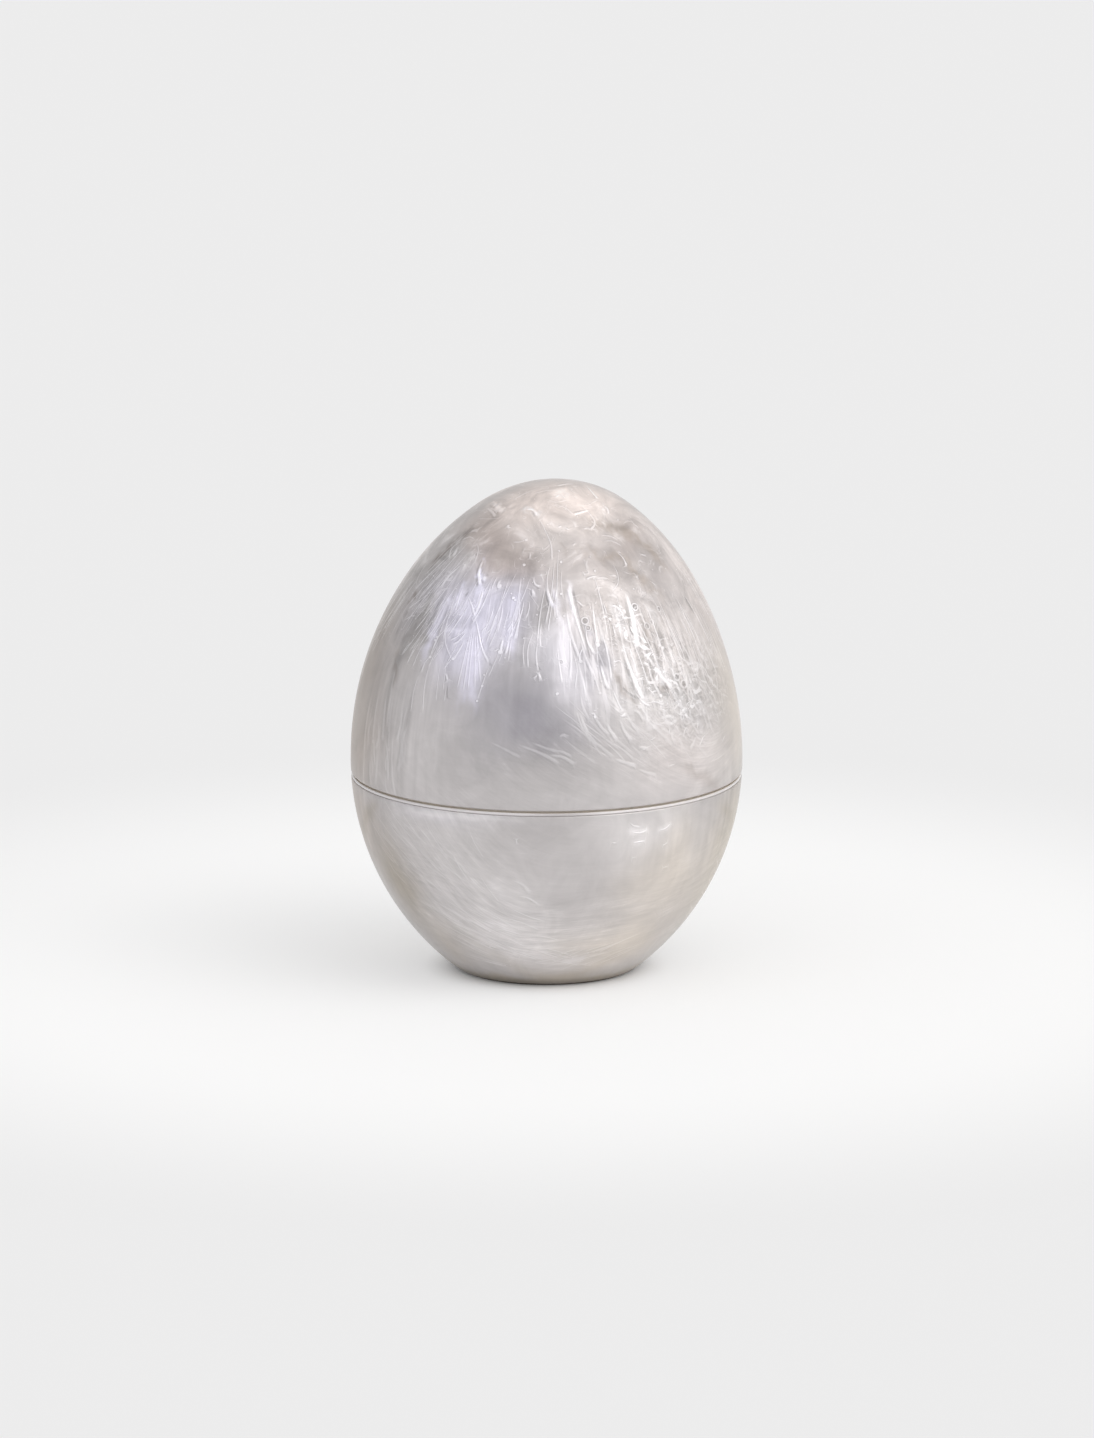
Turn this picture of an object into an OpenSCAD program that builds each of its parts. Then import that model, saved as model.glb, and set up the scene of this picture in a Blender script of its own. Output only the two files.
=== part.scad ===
// Egg-shaped box in two halves, a lift-off lid over a bowl, cast in pearly resin.
// A clear ring bonded into the bowl's rim carries the lid and centres it.
// Origin: centre of the resting face. +Z is up, along the egg's axis.

/* [Egg] */
// Widest diameter of the egg
egg_d = 120; // [100:1:140]
// Height from the resting face to the top of the crown
egg_h = 151.4; // [140:0.2:170]
// Height of the widest level above the resting face
widest_h = 65.3; // [58:0.1:72]
// Diameter of the flat foot that the belly arc comes down to
foot_d = 56; // [48:1:66]
// Slope angle at which the side arc gives way to the shoulder arc, 0 being upright
side_turn = 31.5; // [20:0.5:40]
// Slope angle at which the shoulder arc gives way to the crown arc
shoulder_turn = 53.3; // [46:0.1:64]
// Shoulder arc radius, as a share of the side arc's
shoulder_share = 0.761; // [0.65:0.001:0.9]

/* [Shell] */
// Thickness of the resin wall of the lid and of the bowl
wall = 6; // [5:0.5:8]
// Thickness of the bowl's floor above the pad recess
floor_t = 6; // [4:0.5:10]
// Radius of the round between the bowl's floor and its wall
floor_round = 9; // [4:0.5:12]
// Radius of the round on the lid's lower outer edge
lid_edge_round = 0.8; // [0.4:0.1:1.2]
// Radius of the round on the bowl's upper outer edge
bowl_edge_round = 0.4; // [0.2:0.1:0.8]
// Radius of the round on the foot's outer edge
foot_edge_round = 0.8; // [0.4:0.1:1.2]

/* [Seam] */
// Height of the middle of the gap between the lid and the ring's flange
seam_h = 61.3; // [58:0.1:63]
// Height of that gap
reveal = 0.5; // [0.3:0.1:1]
// How far the gap runs in from the lid's surface to the seat
reveal_depth = 1.4; // [1:0.1:2]
// Thickness of the ring's flange, which shows as a pale band
flange_t = 1; // [0.8:0.1:1.6]
// How far the flange's edge stands back from the lid's surface
flange_setback = 0.2; // [0:0.1:0.5]

/* [Locating ring] */
// Wall thickness of the ring's tube
ring_t = 2; // [1.6:0.1:2.6]
// How far the tube goes down into the bowl's rim
skirt_h = 5; // [4:0.5:8]
// How far the tube stands up into the lid
spigot_h = 6; // [4:0.5:9]
// Size of the lead-in bevel around the spigot's top
spigot_bevel = 0.7; // [0.4:0.1:1]

/* [Fits] */
// Radial clearance between the spigot and the lid's land
lid_clearance = 0.3; // [0.2:0.05:0.5]
// Radial bond line between the skirt and the bowl's rebate, and around the pad
bond_gap = 0.1; // [0.05:0.05:0.2]
// Free depth past the end of the spigot and past the end of the skirt
end_relief = 0.4; // [0.3:0.1:1]

/* [Foot pad] */
// Diameter of the felt pad
pad_d = 53; // [44:1:54]
// Thickness of the felt pad
pad_t = 1.5; // [1.2:0.1:2.5]
// How far the pad stands out below the foot
pad_proud = 0.6; // [0.4:0.1:0.9]

/* [Hidden] */
$fn = 180;

// How far a cut runs past the face that it opens
overrun = 1;

// How much fuller or leaner an arc is drawn, so that it crosses its neighbour cleanly
hair = 0.001;

// How far an arc runs on behind its wider neighbour, as a share of its own radius
lap_share = 0.1;

lid_colour = "#c8c2c2";
bowl_colour = "#c4bebc";
ring_colour = "#dedce0";
pad_colour = "#4c4032";

// Egg outline, belly: one arc from the foot's edge, upright at the widest level
egg_r = egg_d / 2;
foot_z = pad_proud;
foot_in = egg_r - foot_d / 2;
belly_rise = widest_h - foot_z;
belly_r = (foot_in ^ 2 + belly_rise ^ 2) / (2 * foot_in);
belly_c = [egg_r - belly_r, widest_h];

// Egg outline, side, shoulder and crown: three arcs that touch one after another, from upright at the widest
// level to a crown that is centred on the axis. The side's radius is the one that ends at the egg's height.
crown_slope = (1 - sin(shoulder_turn)) / cos(shoulder_turn);
drawn_in = 1 - (1 - shoulder_share) * cos(side_turn);
side_r = (egg_h - widest_h - egg_r * crown_slope)
    / ((1 - shoulder_share) * sin(side_turn) + shoulder_share - drawn_in * crown_slope);
side_c = [egg_r - side_r, widest_h];
shoulder_r = shoulder_share * side_r;
shoulder_c = side_c + (side_r - shoulder_r) * [cos(side_turn), sin(side_turn)];
crown_r = shoulder_r + shoulder_c.x / cos(shoulder_turn);
crown_c = [0, egg_h - crown_r];

// Radius of an arc that is centred at c, at level z
function reach(c, r, z) = c.x + sqrt(r ^ 2 - (z - c.y) ^ 2);

// The arc that the egg follows at a level near the seam or the foot: [centre, radius]
function arc_at(z) = z < widest_h ? [belly_c, belly_r] : [side_c, side_r];

// Radius of the egg, drawn in by a wall, at such a level
function egg_reach(inset, z) = let (arc = arc_at(z)) reach(arc[0], arc[1] - inset, z);

// Levels of the seam
rim_z = seam_h - reveal / 2 - flange_t;
flange_z = seam_h - reveal / 2;
lid_z = seam_h + reveal / 2;
spigot_z = lid_z + spigot_h;
skirt_z = rim_z - skirt_h;
rebate_z = skirt_z - end_relief;
land_z = spigot_z + end_relief;
floor_z = pad_t + floor_t;

// Radii of the seam, all from the bowl's cavity at the foot of the rebate
bore_r = egg_reach(wall, rebate_z);
tube_r = bore_r + ring_t;
rebate_r = tube_r + bond_gap;
land_r = tube_r + lid_clearance;
lid_edge_r = egg_reach(0, lid_z);
seat_r = lid_edge_r - reveal_depth;
flange_r = lid_edge_r - flange_setback;

// The egg's arcs between two levels, drawn in by a wall: [centre, radius, lowest level, highest level].
// Where two arcs touch, the tighter one runs on inside the wider one, a hair fuller, so they cross there.
function egg_arcs(inset, z_low, z_high) = let (
    side_top = side_c.y + (side_r - inset) * sin(side_turn),
    shoulder_top = shoulder_c.y + (shoulder_r - inset) * sin(shoulder_turn),
    whole = [
        [belly_c, belly_r - inset, z_low, widest_h + lap_share * belly_r],
        [side_c, side_r - inset - hair, widest_h, side_top],
        [shoulder_c, shoulder_r - inset, side_top - lap_share * shoulder_r, shoulder_top],
        [crown_c, crown_r - inset + hair, shoulder_top - lap_share * crown_r, z_high],
    ]
) [
    for (arc = whole)
        if (arc[2] < z_high && arc[3] > z_low)
            [arc[0], arc[1], max(arc[2], z_low), min(arc[3], z_high)]
];

// Level at which a round of radius e, lying on level z, touches the egg from inside.
// up is 1 where the round stands on the level, and -1 where it hangs below it.
function round_touch(inset, e, z, up) = let (
    arc = arc_at(z + up * e),
    radius = arc[1] - inset
) arc[0].y + (z + up * e - arc[0].y) * radius / (radius - e);

// That round, as such an arc
function edge_round(inset, e, z, up) = let (
    centre = [egg_reach(inset + e, z + up * e), z + up * e],
    end = round_touch(inset, e, z, up) + up * e * lap_share
) [centre, e + hair, min(z, end), max(z, end)];

// One slice of a half section: from the axis out to an arc, between two levels
module slice(arc) {
    centre = arc[0];
    radius = arc[1];
    low = arc[2];
    tall = arc[3] - arc[2];
    fill = max(centre.x, 0);
    if (fill > 0)
        translate([0, low]) square([fill, tall]);
    intersection() {
        translate(centre) circle(radius);
        translate([fill, low]) square([centre.x + radius + overrun - fill, tall]);
    }
}

// A solid of revolution from a stack of such slices
module turned(arcs) {
    rotate_extrude()
        for (arc = arcs) slice(arc);
}

// The egg above the lid's edge, with its lower outer edge rounded
module lid_outside() {
    touch = round_touch(0, lid_edge_round, lid_z, 1);
    turned(concat([edge_round(0, lid_edge_round, lid_z, 1)], egg_arcs(0, touch, egg_h + overrun)));
}

// The egg below the bowl's rim, with its rim and foot edges rounded
module bowl_outside() {
    foot_touch = round_touch(0, foot_edge_round, foot_z, 1);
    rim_touch = round_touch(0, bowl_edge_round, rim_z, -1);
    turned(concat(
        [edge_round(0, foot_edge_round, foot_z, 1), edge_round(0, bowl_edge_round, rim_z, -1)],
        egg_arcs(0, foot_touch, rim_touch)
    ));
}

// The space in the lid: a land for the spigot, then the egg drawn in by the wall
module lid_inside() {
    translate([0, 0, lid_z - overrun])
        cylinder(r = land_r, h = land_z - lid_z + overrun);
    turned(egg_arcs(wall, seam_h, egg_h));
}

// The space in the bowl: a rebate for the skirt, then the egg drawn in by the wall to a flat floor
module bowl_inside() {
    touch = round_touch(wall, floor_round, floor_z, 1);
    translate([0, 0, rebate_z])
        cylinder(r = rebate_r, h = rim_z - rebate_z + overrun);
    turned(concat([edge_round(wall, floor_round, floor_z, 1)], egg_arcs(wall, touch, rim_z)));
}

module lid_shell() {
    color(lid_colour)
        difference() {
            lid_outside();
            lid_inside();
        }
}

module base_bowl() {
    color(bowl_colour)
        difference() {
            bowl_outside();
            bowl_inside();
            translate([0, 0, foot_z - overrun])
                cylinder(d = pad_d + 2 * bond_gap, h = pad_t - pad_proud + overrun);
        }
}

// Half section of the ring: tube, bull-nosed flange and the raised seat under the lid
module ring_section() {
    translate([bore_r, skirt_z])
        square([ring_t, spigot_z - spigot_bevel - skirt_z]);
    translate([bore_r, spigot_z - spigot_bevel])
        polygon([[0, 0], [ring_t, 0], [ring_t - spigot_bevel, spigot_bevel], [0, spigot_bevel]]);
    translate([bore_r, rim_z])
        square([flange_r - flange_t / 2 - bore_r, flange_t]);
    translate([flange_r - flange_t / 2, rim_z + flange_t / 2])
        circle(d = flange_t);
    translate([bore_r, flange_z])
        square([seat_r - bore_r, reveal]);
}

module rim_ring() {
    color(ring_colour)
        rotate_extrude() ring_section();
}

module foot_pad() {
    color(pad_colour)
        cylinder(d = pad_d, h = pad_t);
}

lid_shell();
base_bowl();
rim_ring();
foot_pad();
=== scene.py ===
import math
import random

import bmesh
import bpy
import numpy as np
from mathutils import Matrix, Vector, noise


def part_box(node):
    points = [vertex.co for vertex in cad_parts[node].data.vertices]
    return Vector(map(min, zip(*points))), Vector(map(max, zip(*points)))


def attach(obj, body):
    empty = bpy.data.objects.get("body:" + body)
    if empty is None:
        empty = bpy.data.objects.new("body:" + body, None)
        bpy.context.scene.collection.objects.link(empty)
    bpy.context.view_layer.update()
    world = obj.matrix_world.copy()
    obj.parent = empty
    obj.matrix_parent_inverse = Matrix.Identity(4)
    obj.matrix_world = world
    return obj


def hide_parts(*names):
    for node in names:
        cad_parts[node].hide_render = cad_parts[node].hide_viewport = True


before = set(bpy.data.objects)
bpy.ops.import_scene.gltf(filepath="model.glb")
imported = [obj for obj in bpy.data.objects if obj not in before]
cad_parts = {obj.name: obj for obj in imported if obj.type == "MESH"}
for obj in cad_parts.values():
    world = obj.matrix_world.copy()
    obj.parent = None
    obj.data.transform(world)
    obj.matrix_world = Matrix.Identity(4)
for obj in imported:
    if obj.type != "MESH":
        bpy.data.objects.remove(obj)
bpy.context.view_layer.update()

MM = 0.001

# Outline of the egg, on the same arcs as the solids. What the solids' boxes don't say is repeated here.
LID_LOW, LID_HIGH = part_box("lid_shell")
BOWL_LOW, BOWL_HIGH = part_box("base_bowl")
PAD_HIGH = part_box("foot_pad")[1]
EGG_R = min(LID_HIGH.x, LID_HIGH.y, -LID_LOW.x, -LID_LOW.y)
EGG_H = LID_HIGH.z
LID_Z = LID_LOW.z
RIM_Z = BOWL_HIGH.z
FOOT_Z = BOWL_LOW.z
WIDEST_Z = 65.3 * MM
FOOT_R = 28 * MM
SIDE_TURN = math.radians(31.5)
SHOULDER_TURN = math.radians(53.3)
SHOULDER_SHARE = 0.761
WALL = 6 * MM
FLOOR_Z = PAD_HIGH.z + 6 * MM
FLOOR_ROUND = 9 * MM
LID_EDGE_ROUND = 0.8 * MM
BOWL_EDGE_ROUND = 0.4 * MM
FOOT_EDGE_ROUND = 0.8 * MM

# The seam: the ring's tube between its rebate in the bowl and its land in the lid, and the ring's flange
TUBE_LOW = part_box("rim_ring")[0].z
TUBE_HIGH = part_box("rim_ring")[1].z
RING_T = 2 * MM
FLANGE_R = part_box("rim_ring")[1].x
LID_CLEARANCE = 0.3 * MM
BOND_GAP = 0.1 * MM
END_RELIEF = 0.4 * MM
RECESS_R = PAD_HIGH.x + BOND_GAP

# The crown stands a little off the axis: above this level it leans towards +X, by so much times the square
# of the height above it in metres
LEAN_Z = 82.9 * MM
LEAN = 0.6

# How finely the two shells are drawn: all round, up the outside, up the inside and on the small rounds
COLUMNS = 480
OUTER_STEP = 0.8 * MM
INNER_STEP = 3.0 * MM
ROUND_STEP = 0.15 * MM
LEAST_POINTS = 3

# A point this close to the axis lies on it, points this close together are one, and faces that meet at a
# larger angle than this keep their corner
ON_AXIS = 0.01 * MM
SAME_POINT = 0.002 * MM
CORNER = math.radians(40)

# The photograph's frame, and the camera that sees the egg as it does: how far off, and how steeply down
IMAGE_W, IMAGE_H = 1094, 1438
FOCAL_PX = 10000
PIXEL = 0.30754 * MM
PITCH = math.radians(12.2)
FOOT_PX = (546.5, 963.4)
FOOT_LEVEL = 0.3 * MM
SENSOR = 36.0
FAR_CLIP = 50
SIGHT_STEP = 0.1 * MM


# Outline

def belly_arc():
    """The centre and radius of the arc from the foot's edge to the widest level."""
    inward = EGG_R - FOOT_R
    radius = (inward ** 2 + (WIDEST_Z - FOOT_Z) ** 2) / (2 * inward)
    return (EGG_R - radius, WIDEST_Z), radius


def upper_arcs():
    """Side, shoulder and crown: (centre, radius, first angle, last angle), touching one after another."""
    crown_slope = (1 - math.sin(SHOULDER_TURN)) / math.cos(SHOULDER_TURN)
    drawn_in = 1 - (1 - SHOULDER_SHARE) * math.cos(SIDE_TURN)
    side_r = (EGG_H - WIDEST_Z - EGG_R * crown_slope) / (
        (1 - SHOULDER_SHARE) * math.sin(SIDE_TURN) + SHOULDER_SHARE - drawn_in * crown_slope)
    side_c = (EGG_R - side_r, WIDEST_Z)
    shoulder_r = SHOULDER_SHARE * side_r
    step = side_r - shoulder_r
    shoulder_c = (side_c[0] + step * math.cos(SIDE_TURN), side_c[1] + step * math.sin(SIDE_TURN))
    crown_r = shoulder_r + shoulder_c[0] / math.cos(SHOULDER_TURN)
    crown_c = (0.0, EGG_H - crown_r)
    return [
        (side_c, side_r, 0.0, SIDE_TURN),
        (shoulder_c, shoulder_r, SIDE_TURN, SHOULDER_TURN),
        (crown_c, crown_r, SHOULDER_TURN, math.pi / 2),
    ]


def arc_points(centre, radius, first, last, spacing):
    """Points along an arc, as rows of (distance from the axis, height)."""
    count = max(LEAST_POINTS, math.ceil(radius * abs(last - first) / spacing) + 1)
    turns = np.linspace(first, last, count)
    return np.column_stack([centre[0] + radius * np.cos(turns), centre[1] + radius * np.sin(turns)])


def edge_round(inset, size, level, up):
    """The centre of a round that lies on a level and touches the belly from inside, and the angle at which
    it does."""
    (x, z), radius = belly_arc()
    height = level + up * size
    centre = (x + math.sqrt((radius - inset - size) ** 2 - (height - z) ** 2), height)
    return centre, math.atan2(centre[1] - z, centre[0] - x)


def belly_points(inset, first, last, spacing=OUTER_STEP):
    """The egg below the widest level, drawn in by a wall, between two angles."""
    centre, radius = belly_arc()
    return arc_points(centre, radius - inset, first, last, spacing)


def upper_points(inset, z_low, spacing=OUTER_STEP):
    """The egg above the widest level, drawn in by a wall, from z_low to the crown."""
    rows = []
    for centre, radius, first, last in upper_arcs():
        start = max(first, math.asin(max(-1, (z_low - centre[1]) / (radius - inset))))
        rows.append(arc_points(centre, radius - inset, start, last, spacing))
    return np.vstack(rows)


def bore_radius():
    """Radius of the bowl's cavity at the foot of the rebate, which the ring's tube carries on."""
    (x, z), radius = belly_arc()
    return x + math.sqrt((radius - WALL) ** 2 - (TUBE_LOW - END_RELIEF - z) ** 2)


def lid_profile():
    """Half section of the lid, from the crown down the outside and back up inside."""
    centre, touch = edge_round(0, LID_EDGE_ROUND, LID_Z, 1)
    land_r = bore_radius() + RING_T + LID_CLEARANCE
    land_z = TUBE_HIGH + END_RELIEF
    outside = np.vstack([
        arc_points(centre, LID_EDGE_ROUND, -math.pi / 2, touch, ROUND_STEP),
        belly_points(0, touch, 0),
        upper_points(0, WIDEST_Z),
    ])
    inside = upper_points(WALL, land_z, INNER_STEP)
    return tidy(np.vstack([outside[::-1], [[land_r, LID_Z], [land_r, land_z]], inside]))


def bowl_profile():
    """Half section of the bowl, from the recess under the foot up the outside and down to the floor."""
    foot_centre, foot_touch = edge_round(0, FOOT_EDGE_ROUND, FOOT_Z, 1)
    rim_centre, rim_touch = edge_round(0, BOWL_EDGE_ROUND, RIM_Z, -1)
    floor_centre, floor_touch = edge_round(WALL, FLOOR_ROUND, FLOOR_Z, 1)
    rebate_r = bore_radius() + RING_T + BOND_GAP
    rebate_z = TUBE_LOW - END_RELIEF
    (x, z), radius = belly_arc()
    bore_turn = math.asin((rebate_z - z) / (radius - WALL))
    return tidy(np.vstack([
        [[0, PAD_HIGH.z], [RECESS_R, PAD_HIGH.z], [RECESS_R, FOOT_Z]],
        arc_points(foot_centre, FOOT_EDGE_ROUND, -math.pi / 2, foot_touch, ROUND_STEP),
        belly_points(0, foot_touch, rim_touch),
        arc_points(rim_centre, BOWL_EDGE_ROUND, rim_touch, math.pi / 2, ROUND_STEP),
        [[rebate_r, RIM_Z], [rebate_r, rebate_z]],
        belly_points(WALL, bore_turn, floor_touch, INNER_STEP),
        arc_points(floor_centre, FLOOR_ROUND, floor_touch, -math.pi / 2, INNER_STEP),
        [[0, FLOOR_Z]],
    ]))


def tidy(rows):
    """Drops points that repeat the one before, and puts what is nearly on the axis on it."""
    rows = np.array(rows, float)
    rows[:, 0] = np.where(rows[:, 0] < ON_AXIS, 0, rows[:, 0])
    keep = np.r_[True, np.hypot(*np.diff(rows, axis=0).T) > SAME_POINT]
    return rows[keep]


def turned(name, rows):
    """A closed mesh that turns a half section about the axis."""
    turns = np.arange(COLUMNS) * 2 * math.pi / COLUMNS
    points, rings = [], []
    for r, z in rows:
        if r == 0:
            rings.append([len(points)] * COLUMNS)
            points.append((0, 0, z))
        else:
            rings.append(range(len(points), len(points) + COLUMNS))
            points.extend(np.column_stack([r * np.sin(turns), -r * np.cos(turns), np.full(COLUMNS, z)]))
    faces = []
    for low, high in zip(rings[:-1], rings[1:]):
        for j in range(COLUMNS):
            k = (j + 1) % COLUMNS
            corners = [low[j], low[k], high[k], high[j]]
            faces.append(list(dict.fromkeys(corners)))
    mesh = bpy.data.meshes.new(name)
    mesh.from_pydata([tuple(p) for p in points], [], faces)
    mesh.validate()
    mesh.update()
    piece = bpy.data.objects.new(name, mesh)
    bpy.context.scene.collection.objects.link(piece)
    return piece


def lean_at(z):
    """How far the egg's middle is off the axis at a height."""
    return LEAN * np.maximum(z - LEAN_Z, 0) ** 2


def lean_over(piece):
    """Leans the crown a little towards +X, as it is in the real piece."""
    places = vertex_places(piece)
    places[:, 0] += lean_at(places[:, 2])
    piece.data.vertices.foreach_set("co", places.astype(np.float32).ravel())


def vertex_places(piece):
    """Where the piece's vertices are, one row each."""
    places = np.empty(len(piece.data.vertices) * 3, np.float32)
    piece.data.vertices.foreach_get("co", places)
    return places.reshape(-1, 3).astype(float)


def outward(piece):
    """Makes the faces point out of the shell and shades them smooth, with the corners kept."""
    work = bmesh.new()
    work.from_mesh(piece.data)
    bmesh.ops.recalc_face_normals(work, faces=list(work.faces))
    work.to_mesh(piece.data)
    work.free()
    piece.data.shade_smooth()
    piece.data.set_sharp_from_angle(angle=CORNER)


# Places on the egg. An azimuth is in degrees: 0 faces the camera, and it grows to the right. A height
# is in mm.

OUTSIDE = np.vstack([
    belly_points(0, math.asin((FOOT_Z - WIDEST_Z) / belly_arc()[1]), 0),
    upper_points(0, WIDEST_Z),
])


def outline_radius(z):
    """Distance of the egg's outside from its middle at a height."""
    return np.interp(z, OUTSIDE[:, 1], OUTSIDE[:, 0])


def place_at(azimuth, height):
    """The place on the egg's outside at an azimuth and a height."""
    a, z = math.radians(azimuth), height * MM
    r = outline_radius(z)
    return np.array([r * math.sin(a) + lean_at(z), -r * math.cos(a), z])


def camera_frame():
    """Where the camera stands, and its directions: right, up and forward."""
    forward = np.array([0, math.cos(PITCH), -math.sin(PITCH)])
    up = np.array([0, math.sin(PITCH), math.cos(PITCH)])
    right = np.array([1.0, 0, 0])
    foot_right = (FOOT_PX[0] - IMAGE_W / 2) * PIXEL
    foot_up = (IMAGE_H / 2 - FOOT_PX[1]) * PIXEL
    eye = np.array([0, 0, FOOT_LEVEL]) - forward * FOCAL_PX * PIXEL - right * foot_right - up * foot_up
    return eye, right, up, forward


def seen_at(x_px, y_px):
    """The place on the egg that shows at a pixel of the photograph."""
    eye, right, up, forward = camera_frame()
    ray = forward + right * (x_px - IMAGE_W / 2) / FOCAL_PX + up * (IMAGE_H / 2 - y_px) / FOCAL_PX
    way = FOCAL_PX * PIXEL + np.arange(-EGG_H, EGG_H, SIGHT_STEP)
    points = eye + way[:, None] * ray
    gap = np.hypot(points[:, 0] - lean_at(points[:, 2]), points[:, 1]) - outline_radius(points[:, 2])
    inside = gap < 0
    return points[inside.argmax() if inside.any() else gap.argmin()]


# Tints. A tint is the level of its green as the screen shows it, from 0 to 255, with a hue that says how
# far its red and its blue are from that.

NEUTRAL = (4, 0)
WARM = (9, -10)
CREAMY = (13, -6)
COOL = (3, 17)
SLATE = (3, 7)
EARTH = (10, -14)
RUST = (12, -16)
UMBER = (12, -9)
MILKY = (8, -2)
DUSTY = (9, -4)
LILAC = (4, 6)
WHITE = (4, 1)


def tint(level, hue):
    """The linear values of a tint, by the screen's own curve."""
    return [(c / 255 / 12.92 if c / 255 <= 0.04045 else ((c / 255 + 0.055) / 1.055) ** 2.4)
            for c in (level + hue[0], level, level + hue[1])]


def tint_colour(level, hue):
    """A tint as the colour of a socket."""
    return (*tint(level, hue), 1)


BASE = tint(190, NEUTRAL)

# Patches of a tint, each a soft ellipse on the egg: azimuth, height, half width and half height in mm,
# its turn in degrees, clockwise as seen from outside, then the tint's level and hue, and how much of it
# there is
LID_TINTS = [
    (30, 148, 20, 13, 0, 236, CREAMY, 0.95),
    (-34, 148, 11, 8, 0, 216, CREAMY, 0.7),
    (-42, 139, 13, 7, 25, 173, CREAMY, 0.8),
    (-25, 133, 10, 6, 10, 164, CREAMY, 0.8),
    (-64, 126, 8, 12, 20, 166, NEUTRAL, 0.8),
    (56, 132, 13, 8, -20, 162, MILKY, 0.7),
    (48, 136, 13, 3, -30, 164, CREAMY, 0.7),
    (80, 112, 14, 16, -10, 210, MILKY, 0.8),
    (78, 130, 10, 10, 0, 232, MILKY, 0.8),
    # The next three: partly a painted highlight, cool and pale up at the left
    (-36, 113, 14, 13, 0, 216, COOL, 0.9),
    (-15, 121, 10, 8, 0, 218, COOL, 0.8),
    (-27, 116, 4, 11, -10, 222, COOL, 0.6),
    (0, 118, 7, 8, 0, 172, NEUTRAL, 0.7),
    (18, 118, 10, 13, 0, 186, MILKY, 0.8),
    (20, 134, 14, 6, 0, 172, MILKY, 0.7),
    (42, 112, 12, 14, 0, 196, MILKY, 0.8),
    # The next two: partly a painted reflection, darker low in the front's middle
    (-7, 92, 15, 11, 0, 150, SLATE, 0.9),
    (0, 83, 14, 7, 0, 156, SLATE, 0.5),
    (-53, 106, 7, 12, 15, 146, NEUTRAL, 0.85),
    (-54, 90, 10, 14, 0, 180, NEUTRAL, 0.8),
    # The next two: painted shade at the left edge
    (-86, 98, 17, 18, 0, 146, UMBER, 0.9),
    (-84, 72, 20, 14, 0, 162, UMBER, 0.85),
    (-42, 76, 9, 14, 0, 200, NEUTRAL, 0.7),
    (-28, 70, 6, 10, 0, 166, NEUTRAL, 0.3),
    (-54, 97, 6, 8, 0, 198, NEUTRAL, 0.4),
    (22, 66, 34, 4, 0, 216, NEUTRAL, 0.25),
    (0, 74, 20, 8, 0, 176, NEUTRAL, 0.6),
    (42, 94, 14, 10, 0, 212, NEUTRAL, 0.8),
    (10, 102, 8, 9, 0, 222, SLATE, 0.75),
    (0, 107, 6, 6, 0, 214, SLATE, 0.6),
    (-22, 80, 8, 8, 0, 190, NEUTRAL, 0.4),
    (56, 108, 8, 10, 0, 224, MILKY, 0.5),
    (46, 74, 16, 10, 0, 212, MILKY, 0.7),
    (82, 84, 15, 18, 0, 214, WARM, 0.9),
    (100, 118, 14, 18, 10, 214, CREAMY, 0.7),
]
BOWL_TINTS = [
    # Painted shade at the left edge
    (-84, 50, 20, 15, 0, 158, UMBER, 0.85),
    (-34, 58, 20, 3, 0, 214, SLATE, 0.5),
    (-50, 52, 8, 8, 0, 183, NEUTRAL, 0.5),
    (-30, 50, 12, 8, 0, 202, NEUTRAL, 0.7),
    (-3, 54, 12, 6, 0, 178, NEUTRAL, 0.7),
    (30, 53, 11, 8, 0, 216, NEUTRAL, 0.8),
    (46, 42, 9, 10, 0, 218, WARM, 0.6),
    # The next two: painted shade at the right edge and at the left edge
    (80, 45, 14, 14, 0, 186, EARTH, 0.9),
    (-58, 32, 8, 12, 0, 156, EARTH, 0.8),
    (-30, 36, 8, 12, 0, 202, NEUTRAL, 0.6),
    (-12, 31, 12, 10, 0, 214, NEUTRAL, 0.8),
    (8, 36, 8, 10, 0, 186, NEUTRAL, 0.5),
    (38, 32, 12, 14, 0, 204, WARM, 0.6),
    # Painted shade at the right edge
    (76, 28, 13, 14, 0, 190, EARTH, 0.9),
    (-48, 13, 7, 8, 0, 176, WARM, 0.6),
    (-12, 17, 16, 9, 0, 226, NEUTRAL, 0.8),
    (30, 14, 14, 9, 0, 212, WARM, 0.8),
    # The last two: painted shade at the foot
    (-30, 1, 24, 3, 0, 172, EARTH, 0.8),
    (40, 1, 24, 3, 0, 190, EARTH, 0.8),
]

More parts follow.
